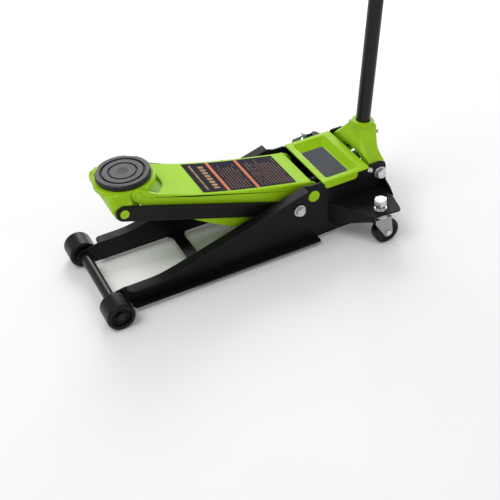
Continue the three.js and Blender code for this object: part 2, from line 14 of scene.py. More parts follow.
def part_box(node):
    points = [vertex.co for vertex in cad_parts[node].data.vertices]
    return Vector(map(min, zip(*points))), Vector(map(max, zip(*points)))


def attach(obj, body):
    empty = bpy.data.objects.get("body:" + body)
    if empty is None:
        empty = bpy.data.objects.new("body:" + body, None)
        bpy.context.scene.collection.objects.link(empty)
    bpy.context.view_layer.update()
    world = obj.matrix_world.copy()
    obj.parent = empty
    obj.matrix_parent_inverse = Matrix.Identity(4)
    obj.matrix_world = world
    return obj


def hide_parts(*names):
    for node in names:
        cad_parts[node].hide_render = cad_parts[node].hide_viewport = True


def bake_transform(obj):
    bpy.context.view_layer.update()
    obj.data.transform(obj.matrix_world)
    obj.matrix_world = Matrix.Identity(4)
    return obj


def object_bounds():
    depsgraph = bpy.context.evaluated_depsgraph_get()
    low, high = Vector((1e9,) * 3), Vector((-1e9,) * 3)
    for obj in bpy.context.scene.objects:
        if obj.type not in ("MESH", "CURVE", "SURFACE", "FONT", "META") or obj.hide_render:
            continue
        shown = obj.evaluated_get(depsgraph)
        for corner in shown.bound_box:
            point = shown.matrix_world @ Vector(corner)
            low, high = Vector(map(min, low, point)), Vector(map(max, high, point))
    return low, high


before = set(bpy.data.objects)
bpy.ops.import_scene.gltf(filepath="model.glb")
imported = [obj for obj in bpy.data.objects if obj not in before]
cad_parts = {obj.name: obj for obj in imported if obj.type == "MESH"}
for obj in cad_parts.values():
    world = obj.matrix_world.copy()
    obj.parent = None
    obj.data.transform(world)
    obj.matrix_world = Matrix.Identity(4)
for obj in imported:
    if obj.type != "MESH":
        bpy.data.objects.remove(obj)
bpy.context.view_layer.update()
scene = bpy.context.scene

axle_lo, axle_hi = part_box("front_axle")
OY = -(axle_lo.y + axle_hi.y) / 2 * 1000.0     # front axle to row origin

# ------------------------------------------------------------------ solids
SX = lambda a, b, h: Vector((h, a, b))
SY = lambda a, b, h: Vector((a, h, b))
SZ = lambda a, b, h: Vector((a, b, h))


def to_obj(bm):
    bmesh.ops.recalc_face_normals(bm, faces=bm.faces)
    me = bpy.data.meshes.new("tmp")
    bm.to_mesh(me)
    bm.free()
    o = bpy.data.objects.new("tmp", me)
    scene.collection.objects.link(o)
    return o


def prism(points, h0, h1, place):
    bm = bmesh.new()
    lo = [bm.verts.new(place(p[0], p[1], h0)) for p in points]
    hi = [bm.verts.new(place(p[0], p[1], h1)) for p in points]
    bm.faces.new(lo[::-1])
    bm.faces.new(hi)
    n = len(points)
    for i in range(n):
        bm.faces.new((lo[i], lo[(i + 1) % n], hi[(i + 1) % n], hi[i]))
    return to_obj(bm)


def loftY(stations):
    """Outlines in (X, Z) at several Y stations, all with the same number of points."""
    bm = bmesh.new()
    rings = [[bm.verts.new((x, y, z)) for x, z in pts] for y, pts in stations]
    n = len(rings[0])
    bm.faces.new(rings[0])
    bm.faces.new(rings[-1][::-1])
    for a, b in zip(rings, rings[1:]):
        for i in range(n):
            j = (i + 1) % n
            bm.faces.new((a[i], b[i], b[j]))
            bm.faces.new((a[i], b[j], a[j]))
    bmesh.ops.triangulate(bm, faces=[f for f in bm.faces if len(f.verts) > 4])
    return to_obj(bm)


def slabX(points, x0, x1):
    return prism(points, x0, x1, SX)


def slabY(points, y0, y1):
    return prism(points, y0, y1, SY)


def slabZ(points, z0, z1):
    return prism(points, z0, z1, SZ)


def box(x0, x1, y0, y1, z0, z1):
    return slabZ([(x0, y0), (x1, y0), (x1, y1), (x0, y1)], z0, z1)


def turned(profile, n, place, phase=0.0):
    """Profile of (radius, height) round an axis; place(c, s, h) puts it in space."""
    closed = profile[0] == profile[-1]
    stations = profile[:-1] if closed else profile
    bm = bmesh.new()
    rings = []
    for r, h in stations:
        if r < 1e-6:
            rings.append([bm.verts.new(place(0, 0, h))])
        else:
            rings.append([bm.verts.new(place(r * math.cos(phase + 2 * math.pi * i / n), r * math.sin(phase + 2 * math.pi * i / n), h)) for i in range(n)])
    for k in range(len(rings) if closed else len(rings) - 1):
        a, b = rings[k], rings[(k + 1) % len(rings)]
        for i in range(n):
            j = (i + 1) % n
            if len(a) == 1 and len(b) == 1:
                continue
            if len(a) == 1:
                bm.faces.new((a[0], b[i], b[j]))
            elif len(b) == 1:
                bm.faces.new((a[i], a[j], b[0]))
            else:
                bm.faces.new((a[i], a[j], b[j], b[i]))
    return to_obj(bm)


def alongX(profile, y, z, n=48, phase=0.0):
    return turned(profile, n, lambda a, b, h: Vector((h, y + a, z + b)), phase)


def alongY(profile, x, z, n=48, phase=0.0):
    return turned(profile, n, lambda a, b, h: Vector((x + a, h, z + b)), phase)


def alongZ(profile, x, y, n=48, phase=0.0):
    return turned(profile, n, lambda a, b, h: Vector((x + a, y + b, h)), phase)


def rod(r, h0, h1, c=0.0):
    if c:
        return [(0, h0), (r - c, h0), (r, h0 + c), (r, h1 - c), (r - c, h1), (0, h1)]
    return [(0, h0), (r, h0), (r, h1), (0, h1)]


def ring(ri, ro, h0, h1, c=0.0):
    if c:
        return [(ri, h0), (ro - c, h0), (ro, h0 + c), (ro, h1 - c), (ro - c, h1), (ri, h1), (ri, h0)]
    return [(ri, h0), (ro, h0), (ro, h1), (ri, h1), (ri, h0)]


def stepped(stations, c=0.4):
    """Stacked [radius, h0, h1] stations with a small chamfer at every outer shoulder."""
    p = [(0, stations[0][1])]
    for i, (r, a, b) in enumerate(stations):
        before = stations[i - 1][0] if i else 0
        after = stations[i + 1][0] if i + 1 < len(stations) else 0
        k = min(c, (b - a) * 0.3, r * 0.3)
        if before < r:
            p += [(r - k, a), (r, a + k)]
        else:
            p.append((r, a))
        if after < r:
            p += [(r, b - k), (r - k, b)]
        else:
            p.append((r, b))
    p.append((0, stations[-1][2]))
    return [q for i, q in enumerate(p) if i == 0 or q != p[i - 1]]


def boolean(a, b, op, keep_b=False):
    m = a.modifiers.new("b", "BOOLEAN")
    m.operation = op
    m.object = b
    m.solver = "MANIFOLD"
    dg = bpy.context.evaluated_depsgraph_get()
    me = bpy.data.meshes.new_from_object(a.evaluated_get(dg))
    a.modifiers.clear()
    old = a.data
    a.data = me
    bpy.data.meshes.remove(old)
    if not keep_b:
        drop(b)
    return a


def drop(o):
    me = o.data
    bpy.data.objects.remove(o)
    bpy.data.meshes.remove(me)


def add(a, *others):
    for b in others:
        boolean(a, b, "UNION")
    return a


def cut(a, *others):
    for b in others:
        boolean(a, b, "DIFFERENCE")
    return a


def inter(a, *others):
    for b in others:
        boolean(a, b, "INTERSECT")
    return a


def move(o, matrix):
    o.data.transform(matrix)
    return o


def copy(o):
    c = bpy.data.objects.new("tmp", o.data.copy())
    scene.collection.objects.link(c)
    return c


def arc(cx, cy, r, a0, a1, n=8):
    n = max(n, int(abs(a1 - a0) / 7))
    return [(cx + r * math.cos(math.radians(a0 + (a1 - a0) * i / n)), cy + r * math.sin(math.radians(a0 + (a1 - a0) * i / n))) for i in range(n + 1)]


def fil(points, r=0.0, n=6):
    """Rounds the corners of a closed outline. A point's third number is its own radius."""
    out = []
    m = len(points)
    for i in range(m):
        p = Vector(points[i][:2])
        rr = points[i][2] if len(points[i]) > 2 else r
        a, b = Vector(points[i - 1][:2]) - p, Vector(points[(i + 1) % m][:2]) - p
        la, lb = a.length, b.length
        if rr <= 0 or la < 1e-6 or lb < 1e-6:
            out.append((p.x, p.y))
            continue
        a.normalize()
        b.normalize()
        half = math.acos(max(-1, min(1, a.dot(b)))) / 2
        if half > math.radians(87):
            out.append((p.x, p.y))
            continue
        t = min(rr / math.tan(half), la * 0.48, lb * 0.48)
        rad = t * math.tan(half)
        centre = p + (a + b).normalized() * (rad / math.sin(half))
        s, e = p + a * t - centre, p + b * t - centre
        ang = s.angle_signed(e) if s.length and e.length else 0
        for k in range(n + 1):
            c, d = math.cos(-ang * k / n), math.sin(-ang * k / n)
            q = centre + Vector((s.x * c - s.y * d, s.x * d + s.y * c))
            out.append((q.x, q.y))
    return out


def eased(points, n=4):
    """Rounds corners with the same number of points each, so that outlines can be lofted."""
    out = []
    m = len(points)
    for i, (x, z, r) in enumerate(points):
        p = Vector((x, z))
        if r <= 0:
            out.append((x, z))
            continue
        a, b = Vector(points[i - 1][:2]) - p, Vector(points[(i + 1) % m][:2]) - p
        s, e = p + a * min(r / a.length, 0.45), p + b * min(r / b.length, 0.45)
        for k in range(n + 1):
            t = k / n
            q = s * (1 - t) ** 2 + p * 2 * t * (1 - t) + e * t * t
            out.append((q.x, q.y))
    return out


def smooth_line(points, n=6):
    """Catmull-Rom curve through points."""
    out = []
    for i in range(len(points) - 1):
        p0 = Vector(points[max(i - 1, 0)])
        p1, p2 = Vector(points[i]), Vector(points[i + 1])
        p3 = Vector(points[min(i + 2, len(points) - 1)])
        for k in range(n):
            t = k / n
            q = 0.5 * ((2 * p1) + (p2 - p0) * t + (2 * p0 - 5 * p1 + 4 * p2 - p3) * t * t + (3 * p1 - p0 - 3 * p2 + p3) * t ** 3)
            out.append((q.x, q.y))
    out.append(tuple(points[-1]))
    return out


def line_at(line, y):
    for (a, b), (c, d) in zip(line, line[1:]):
        if a <= y <= c:
            return b + (d - b) * (y - a) / max(c - a, 1e-9)
    return line[0][1] if y < line[0][0] else line[-1][1]


def clean(o, tol=0.03):
    bm = bmesh.new()
    bm.from_mesh(o.data)
    bmesh.ops.remove_doubles(bm, verts=bm.verts, dist=2e-3)
    bmesh.ops.dissolve_degenerate(bm, edges=bm.edges, dist=1e-3)
    bmesh.ops.dissolve_limit(bm, angle_limit=math.radians(tol), verts=bm.verts, edges=bm.edges, use_dissolve_boundaries=False)
    bm.to_mesh(o.data)
    bm.free()


def bevel(o, width, segments=2, angle=30, pick=None, tidy=True):
    """Rounds the sharp edges that pick(midpoint, edge) chooses, or all of them."""
    if tidy:
        clean(o)
    bm = bmesh.new()
    bm.from_mesh(o.data)
    bm.normal_update()
    limit = math.radians(angle)
    edges = []
    for e in bm.edges:
        if len(e.link_faces) != 2 or e.calc_face_angle(0) < limit:
            continue
        mid = (e.verts[0].co + e.verts[1].co) / 2
        if pick is None or pick(mid, e):
            edges.append(e)
    if edges:
        bmesh.ops.bevel(bm, geom=edges, offset=width, offset_type="OFFSET", segments=segments, profile=0.5, affect="EDGES", clamp_overlap=False, miter_outer="SHARP", miter_inner="SHARP")
    bmesh.ops.remove_doubles(bm, verts=bm.verts, dist=1e-3)
    bm.to_mesh(o.data)
    bm.free()
    return o


def chamfer_hex(across_corners, h0, h1, place, phase=0.0, both=False):
    """Hexagon head whose corners are turned down by a cone."""
    r = across_corners / 2
    hexagon = turned(rod(r, h0, h1), 6, place, phase)
    t = (h1 - h0)
    prof = [(0, h0), (r * 0.9, h0), (r * 1.02, h0 + r * 0.09), (r * 1.02, h1 - r * 0.12), (r * 0.84, h1), (0, h1)]
    if not both:
        prof = [(0, h0), (r * 1.02, h0), (r * 1.02, h1 - r * 0.12), (r * 0.84, h1), (0, h1)]
    return inter(hexagon, turned(prof, 72, place))


def atX(y, z):
    return lambda a, b, h: Vector((h, y + a, z + b))


def atZ(x, y):
    return lambda a, b, h: Vector((x + a, y + b, h))


TO_ROW = Matrix.Diagonal((0.001, 0.001, 0.001, 1.0)) @ Matrix.Translation((0, -OY, 0))
made = {}


def done(o, node, body, slot, material, width=0.5, segments=2, angle=30, name=None, replaces=None, sharp=38, tidy=False):
    """The finished piece: rounded edges, row frame, smooth shading, material, and what it rides on and stands for."""
    if width:
        bevel(o, width, segments, angle, tidy=tidy)
    o.data.transform(TO_ROW)
    return dress(o, node, body, material, name, replaces, sharp)


def dress(o, node, body, material, name=None, replaces=None, sharp=38):
    me = o.data
    me.shade_smooth()
    me.set_sharp_from_angle(angle=math.radians(sharp))
    o.name = name or f"fine_{node}"
    me.name = o.name
    me.materials.clear()
    me.materials.append(material)
    w = o.modifiers.new("normals", "WEIGHTED_NORMAL")
    w.keep_sharp = True
    w.weight = 60
    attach(o, body)
    for n in ([node] if replaces is None else replaces):
        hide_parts(n)
    made[o.name] = o
    return o


def mirrored(o, node, body, material, name=None, replaces=None, sharp=38):
    bm = bmesh.new()
    bm.from_mesh(o.data)
    bm.transform(Matrix.Diagonal((-1, 1, 1, 1)))
    bmesh.ops.reverse_faces(bm, faces=bm.faces)
    me = bpy.data.meshes.new("m")
    bm.to_mesh(me)
    bm.free()
    c = bpy.data.objects.new("m", me)
    scene.collection.objects.link(c)
    return dress(c, node, body, material, name, replaces, sharp)


def pair(o, base, body, slot, material, **k):
    """body may hold {s} for the side."""
    left = done(o, f"{base}_left", body.format(s="left"), slot, material, **k)
    right = mirrored(left, f"{base}_right", body.format(s="right"), material)
    return left, right


# ------------------------------------------------------------------ materials
def nodes_of(name):
    m = bpy.data.materials.new(name)
    m.use_nodes = True
    t = m.node_tree
    b = t.nodes["Principled BSDF"]
    tc = t.nodes.new("ShaderNodeTexCoord")
    return m, t, b, tc


def link(t, a, b):
    t.links.new(a, b)


def noise(t, tc, scale, detail=4.0, rough=0.6, stretch=None, seed=0.0):
    src = tc.outputs["Object"]
    if stretch or seed:
        mp = t.nodes.new("ShaderNodeMapping")
        mp.inputs["Location"].default_value = (seed, seed * 0.7, seed * 1.3)
        if stretch:
            mp.inputs["Scale"].default_value = stretch
        link(t, src, mp.inputs["Vector"])
        src = mp.outputs["Vector"]
    n = t.nodes.new("ShaderNodeTexNoise")
    n.inputs["Scale"].default_value = scale
    n.inputs["Detail"].default_value = detail
    n.inputs["Roughness"].default_value = rough
    link(t, src, n.inputs["Vector"])
    return n.outputs["Fac"]


def ranged(t, fac, lo, hi, a=0.3, b=0.7):
    m = t.nodes.new("ShaderNodeMapRange")
    m.inputs["From Min"].default_value = a
    m.inputs["From Max"].default_value = b
    m.inputs["To Min"].default_value = lo
    m.inputs["To Max"].default_value = hi
    link(t, fac, m.inputs["Value"])
    return m.outputs["Result"]


def two_tone(t, fac, c0, c1, a=0.35, b=0.65):
    r = t.nodes.new("ShaderNodeValToRGB")
    r.color_ramp.elements[0].position = a
    r.color_ramp.elements[1].position = b
    r.color_ramp.elements[0].color = (*c0, 1)
    r.color_ramp.elements[1].color = (*c1, 1)
    link(t, fac, r.inputs["Fac"])
    return r.outputs["Color"]


def mix(t, fac, a, b, blend="MIX"):
    m = t.nodes.new("ShaderNodeMix")
    m.data_type = "RGBA"
    m.blend_type = blend
    if isinstance(fac, float):
        m.inputs["Factor"].default_value = fac
    else:
        link(t, fac, m.inputs["Factor"])
    for v, s in ((a, m.inputs[6]), (b, m.inputs[7])):
        if isinstance(v, tuple):
            s.default_value = (*v, 1)
        else:
            link(t, v, s)
    return m.outputs[2]


def math_node(t, op, a, b=None):
    m = t.nodes.new("ShaderNodeMath")
    m.operation = op
    for v, s in ((a, m.inputs[0]), (b, m.inputs[1])):
        if v is None:
            continue
        if isinstance(v, (int, float)):
            s.default_value = v
        else:
            link(t, v, s)
    return m.outputs[0]


def bump(t, b, height, strength, distance=0.0003, before=None):
    n = t.nodes.new("ShaderNodeBump")
    n.inputs["Strength"].default_value = strength
    n.inputs["Distance"].default_value = distance
    link(t, height, n.inputs["Height"])
    if before is not None:
        link(t, before, n.inputs["Normal"])
    link(t, n.outputs["Normal"], b.inputs["Normal"])
    return n.outputs["Normal"]


def edge_mask(t, lo=0.52, hi=0.62):
    g = t.nodes.new("ShaderNodeNewGeometry")
    return ranged(t, g.outputs["Pointiness"], 0.0, 1.0, lo, hi)


def paint(name, c0, c1, rough, coat=0.0, coat_rough=0.1, peel=0.10, peel_scale=520.0, edge=None, spec=0.5, grime=None):
    m, t, b, tc = nodes_of(name)
    tone = two_tone(t, noise(t, tc, 9.0, 5.0), c0, c1)
    if grime:
        tone = mix(t, ranged(t, noise(t, tc, 34.0, 6.0, 0.65, seed=3.1), 0.0, 0.5, 0.58, 0.75), tone, grime)
    if edge:
        worn = math_node(t, "MULTIPLY", edge_mask(t), ranged(t, noise(t, tc, 120.0, 3.0, seed=7.0), 0.2, 1.0))
        tone = mix(t, math_node(t, "MULTIPLY", worn, 0.5), tone, edge)
    link(t, tone, b.inputs["Base Color"])
    link(t, ranged(t, noise(t, tc, 42.0, 5.0, seed=1.7), *rough), b.inputs["Roughness"])
    b.inputs["Specular IOR Level"].default_value = spec
    b.inputs["Coat Weight"].default_value = coat
    b.inputs["Coat Roughness"].default_value = coat_rough
    first = bump(t, b, noise(t, tc, peel_scale, 2.0, 0.5), peel, 0.00025)
    bump(t, b, noise(t, tc, 60.0, 2.0, 0.5, seed=2.0), peel * 0.5, 0.0006, first)
    return m


def metal(name, c0, c1, rough, scale=60.0, stretch=None, grain=0.12, grain_scale=900.0):
    m, t, b, tc = nodes_of(name)
    b.inputs["Metallic"].default_value = 1.0
    link(t, two_tone(t, noise(t, tc, scale, 5.0, 0.6), c0, c1, 0.3, 0.7), b.inputs["Base Color"])
    link(t, ranged(t, noise(t, tc, scale * 2.3, 6.0, 0.7, stretch, 4.0), *rough), b.inputs["Roughness"])
    bump(t, b, noise(t, tc, grain_scale, 3.0, 0.6, stretch), grain, 0.0001)
    return m


def soft(name, c0, c1, rough, scale=300.0, grain=0.3, grain_scale=1500.0, spec=0.3, distance=0.0002):
    m, t, b, tc = nodes_of(name)
    tone = two_tone(t, noise(t, tc, scale, 6.0, 0.7), c0, c1, 0.3, 0.7)
    tone = mix(t, ranged(t, noise(t, tc, scale * 0.12, 3.0, 0.5, seed=5.0), 0.0, 0.35), tone, tuple(x * 0.7 for x in c0))
    link(t, tone, b.inputs["Base Color"])
    link(t, ranged(t, noise(t, tc, scale * 0.5, 4.0, seed=2.2), *rough), b.inputs["Roughness"])
    b.inputs["Specular IOR Level"].default_value = spec
    bump(t, b, noise(t, tc, grain_scale, 3.0, 0.6), grain, distance)
    return m


GREEN = paint("green_powder_coat", (0.300, 0.545, 0.004), (0.335, 0.590, 0.007), (0.36, 0.46), coat=0.0, spec=0.17, coat_rough=0.12, edge=(0.42, 0.70, 0.06))
GREEN_CAST = paint("green_casting", (0.290, 0.530, 0.004), (0.330, 0.580, 0.007), (0.36, 0.48), coat=0.0, spec=0.17, coat_rough=0.14, peel=0.22, peel_scale=300.0, edge=(0.42, 0.70, 0.06))
BLACK = paint("black_powder_coat", (0.0030, 0.0030, 0.0033), (0.0050, 0.0050, 0.0054), (0.32, 0.44), peel=0.16, peel_scale=700.0, edge=(0.04, 0.04, 0.042), spec=0.15, grime=(0.007, 0.007, 0.007))
BLACK_GLOSS = paint("black_tube_paint", (0.0045, 0.0045, 0.005), (0.0070, 0.0070, 0.0078), (0.22, 0.32), coat=0.04, coat_rough=0.1, peel=0.08, edge=(0.04, 0.04, 0.042), spec=0.22)
BLOCK = paint("black_casting", (0.009, 0.009, 0.010), (0.016, 0.016, 0.017), (0.42, 0.6), peel=0.5, peel_scale=260.0, edge=(0.05, 0.05, 0.05), spec=0.25)
ZINC = metal("bright_zinc", (0.55, 0.55, 0.57), (0.68, 0.68, 0.69), (0.22, 0.34))
FORK_ZINC = metal("satin_zinc", (0.30, 0.30, 0.31), (0.36, 0.36, 0.37), (0.36, 0.46), 30.0)
STEEL = metal("machined_steel", (0.36, 0.37, 0.39), (0.52, 0.53, 0.55), (0.22, 0.42), 90.0)
CHROME = metal("hard_chrome", (0.78, 0.79, 0.81), (0.86, 0.87, 0.88), (0.06, 0.14), 40.0, grain=0.03)
PAD = soft("pad_rubber", (0.118, 0.118, 0.120), (0.165, 0.165, 0.168), (0.62, 0.8), 420.0, 0.45, 1300.0)
# near-black copy of the pad rubber, used as painted shade on the pad's sides, rim and groove bottoms
PAD_SHADE_SIDE = soft("pad_rubber_painted_shade", (0.012, 0.012, 0.013), (0.022, 0.022, 0.023), (0.5, 0.65), 420.0, 0.35, 1300.0)
PAD_CENTRE = soft("centre_rubber", (0.078, 0.078, 0.080), (0.105, 0.105, 0.107), (0.62, 0.8), 420.0, 0.45, 1300.0)
GRIP = soft("grip_rubber", (0.014, 0.014, 0.014), (0.026, 0.026, 0.026), (0.7, 0.88), 600.0, 0.6, 1800.0)
TRAY = soft("tray_rubber", (0.056, 0.059, 0.078), (0.072, 0.076, 0.098), (0.6, 0.75), 500.0, 0.35, 1400.0)
NYLON = soft("wheel_nylon", (0.0045, 0.0045, 0.0048), (0.008, 0.008, 0.0084), (0.26, 0.40), 160.0, 0.12, 700.0, spec=0.2)
TRIM = soft("trim_plastic", (0.010, 0.010, 0.011), (0.018, 0.018, 0.019), (0.4, 0.55), 300.0, 0.2, 900.0, spec=0.4)


def label_material():
    """Navy film with two plain orange bars and rows of blank dashes; no lettering."""
    m, t, b, tc = nodes_of("printed_label")
    sep = t.nodes.new("ShaderNodeSeparateXYZ")
    link(t, tc.outputs["Object"], sep.inputs[0])
    x = math_node(t, "MULTIPLY", sep.outputs["X"], 1000.0)
    y = math_node(t, "MULTIPLY_ADD", sep.outputs["Y"], 1000.0)
    y.node.inputs[2].default_value = OY

    def between(v, lo, hi):
        return math_node(t, "MULTIPLY", math_node(t, "GREATER_THAN", v, lo), math_node(t, "LESS_THAN", v, hi))

    def either(*vs):
        out = vs[0]
        for v in vs[1:]:
            out = math_node(t, "MAXIMUM", out, v)
        return out

    base = two_tone(t, noise(t, tc, 14.0, 4.0), (0.0055, 0.0040, 0.0135), (0.0075, 0.0055, 0.0175))
    bars = either(between(y, 291.5, 298.5), between(y, 358.8, 365.6))
    orange = two_tone(t, noise(t, tc, 30.0, 4.0, seed=4.0), (0.58, 0.17, 0.072), (0.66, 0.21, 0.095))
    # rows of dashes: a row's dashes come from steps of noise along X
    inside = between(x, -55.0, 55.0)
    body = either(between(y, 303.0, 355.0), between(y, 370.0, 447.0))
    row = math_node(t, "FRACT", math_node(t, "DIVIDE", y, 6.9))
    thin = between(row, 0.42, 0.58)
    index = math_node(t, "FLOOR", math_node(t, "DIVIDE", y, 6.9))
    comb = t.nodes.new("ShaderNodeCombineXYZ")
    link(t, math_node(t, "MULTIPLY", index, 7.31), comb.inputs[0])
    link(t, math_node(t, "MULTIPLY", x, 0.06), comb.inputs[1])
    wn = t.nodes.new("ShaderNodeTexNoise")
    wn.inputs["Scale"].default_value = 1.0
    wn.inputs["Detail"].default_value = 1.0
    link(t, comb.outputs[0], wn.inputs["Vector"])
    dash = math_node(t, "GREATER_THAN", wn.outputs["Fac"], 0.36)
    ends = t.nodes.new("ShaderNodeTexNoise")
    ends.inputs["Scale"].default_value = 1.0
    comb2 = t.nodes.new("ShaderNodeCombineXYZ")
    link(t, math_node(t, "MULTIPLY", index, 3.77), comb2.inputs[0])
    link(t, comb2.outputs[0], ends.inputs["Vector"])
    stop = math_node(t, "LESS_THAN", math_node(t, "MULTIPLY", x, -1.0), ranged(t, ends.outputs["Fac"], 20.0, 56.0, 0.35, 0.65))
    lines = math_node(t, "MULTIPLY", math_node(t, "MULTIPLY", thin, inside), math_node(t, "MULTIPLY", math_node(t, "MULTIPLY", dash, stop), body))
    # head of the label: one broad bar of blocks and one thin row
    block = math_node(t, "FRACT", math_node(t, "DIVIDE", math_node(t, "ADD", x, 60.0), 12.5))
    broad = math_node(t, "MULTIPLY", math_node(t, "MULTIPLY", between(y, 268.0, 280.0), between(x, -48.0, 48.0)), between(block, 0.14, 0.80))
    thin_block = math_node(t, "FRACT", math_node(t, "DIVIDE", math_node(t, "ADD", x, 60.0), 8.3))
    slim = math_node(t, "MULTIPLY", math_node(t, "MULTIPLY", between(y, 249.5, 254.0), between(x, -52.0, 52.0)), between(thin_block, 0.1, 0.85))
    gold = two_tone(t, noise(t, tc, 90.0, 3.0, seed=9.0), (0.34, 0.21, 0.080), (0.48, 0.32, 0.15))
    pinkish = two_tone(t, noise(t, tc, 25.0, 3.0, seed=2.0), (0.22, 0.115, 0.070), (0.33, 0.20, 0.105))
    tone = mix(t, bars, base, orange)
    tone = mix(t, lines, tone, pinkish)
    tone = mix(t, either(broad, slim), tone, gold)
    link(t, tone, b.inputs["Base Color"])
    link(t, ranged(t, noise(t, tc, 70.0, 4.0, seed=6.0), 0.42, 0.54), b.inputs["Roughness"])
    b.inputs["Specular IOR Level"].default_value = 0.04
    bump(t, b, noise(t, tc, 240.0, 2.0), 0.06, 0.0002)
    return m


LABEL = label_material()

# ------------------------------------------------------------------ dimensions
PLATE_IN, PLATE_OUT, FLANGE_OUT, PLATE_T = 83, 87, 109, 3.5
AXLE_Z, WHEEL_R, WHEEL_IN, WHEEL_OUT, AXLE_R, AXLE_END_R = 31, 31, 93, 145, 12, 8
ARM, LINK, HEAD = (480, 120.5), (36.5, 24), (97, 252.2)
LINK_REAR = (ARM[0] - LINK[0], ARM[1] - LINK[1])
LINK_FRONT = (HEAD[0] - LINK[0], HEAD[1] - LINK[1])
ARM_HALF, CHEEK_T, ARM_PIN_R = 69, 6, 13.5
LINK_X0, LINK_X1, LINK_HALF, LINK_PIN_R, LINK_BOLT_R = 73.4, 79.4, 17, 9.3, 6
SADDLE_Y, SADDLE_TOP, SADDLE_R, SEAT_Z, SPINDLE_R = 92.3, 276, 57, 262.6, 11
LUG, LUG_R, ROLLER_R = (489, 56.1), 7, 11
RAM_Z, RAM_R, RAM_FACE = 61, 13, 489 + 11 + 0.8
CYL_Y0, CYL_Y1, CYL_R = 541.6, 638, 36
PLUNGER_Y, PLUNGER_TOP = 666, 122.6
YOKE, LEAN = (646.4, 124.3), math.radians(6)
TUBE_R, SOCKET_R, SOCKET_TOP = 16, 25, 88.5
EYE_R = 12.5
PUMP_ROLLER = (20.1, 8.95)
CASTER, TRAIL, CASTER_R, CASTER_W = (163.5, 600.5), 12.5, 30, 22
BRACKET_TOP, BRACKET_T = 90, 4
G = 0.3

top_line = [(33, 57), (92, 58), (118, 61), (150, 68.5), (455, 154.5)]
top_curve = smooth_line(top_line[:4], 6)[:-1] + [(150, 68.5), (455, 154.5)]


# ------------------------------------------------------------------ chassis
def side_plates():
    web = arc(0, AXLE_Z, 19, 270, 100) + top_curve + [(463, 152.8), (470, 149.8), (498, 149.5), (501, 146), (618, 146), (621, 152.5), (646, 153)] \
        + arc(646, 137, 16, 80, 0) + [(662, 72), (640, 26), (622, 12), (592, 12)] + arc(581, 18.5, 10, -30, -150) + [(560, 12), (484, 10)]
    p = slabX(web, PLATE_IN, PLATE_OUT)
    flange = slabX(top_curve + [(y + (1 if i == len(top_curve) - 1 else 0), z - PLATE_T) for i, (y, z) in reversed(list(enumerate(top_curve)))], PLATE_IN + 1, FLANGE_OUT)
    plan = slabZ(fil([(PLATE_IN, 20), (PLATE_OUT, 33, 3), (FLANGE_OUT, 34, 15), (FLANGE_OUT, 456, 6), (PLATE_IN, 462)], 0, 10), 0, 200)
    low = slabZ(fil([(PLATE_IN + 1, 38), (FLANGE_OUT, 39, 9), (FLANGE_OUT, 484, 4), (PLATE_IN + 1, 484)], 0, 8), 10, 10 + PLATE_T)
    p = add(p, inter(flange, plan), low)
    hole = lambda r, yz: alongX(rod(r, PLATE_IN - 3, PLATE_OUT + 3), yz[0], yz[1], 48)
    p = cut(p, hole(AXLE_END_R + G, (0, AXLE_Z)), hole(ARM_PIN_R + G, ARM), hole(LINK_BOLT_R + G, LINK_REAR), hole(7 + G, YOKE), hole(4 + G, (620.5, 138.5)), hole(6 + G, (581, 18.5)))
    clean(p)
    # bends of the pressed channel: outer at the inner face, inner under the flange
    outer = lambda m, e: abs(m.x - PLATE_IN) < 0.05 and 36 < m.y < 452 and (abs(m.z - line_at(top_curve, m.y)) < 0.3)
    bevel(p, 3.2, 4, 30, outer, tidy=False)
    under = lambda m, e: abs(m.x - PLATE_OUT) < 0.05 and 40 < m.y < 450 and abs(m.z - (line_at(top_curve, m.y) - PLATE_T)) < 0.5
    bevel(p, 2.6, 3, 30, under, tidy=False)
    low_in = lambda m, e: abs(m.x - PLATE_IN) < 1.2 and 60 < m.y < 480 and abs(m.z - 10) < 0.1
    bevel(p, 0.9, 2, 30, low_in, tidy=False)
    under2 = lambda m, e: abs(m.x - PLATE_OUT) < 0.05 and 45 < m.y < 482 and abs(m.z - 13.5) < 0.1
    bevel(p, 2.4, 3, 30, under2, tidy=False)
    pair(p, "side_plate", "chassis", "black_paint", BLACK, width=0.45, segments=2, angle=40)


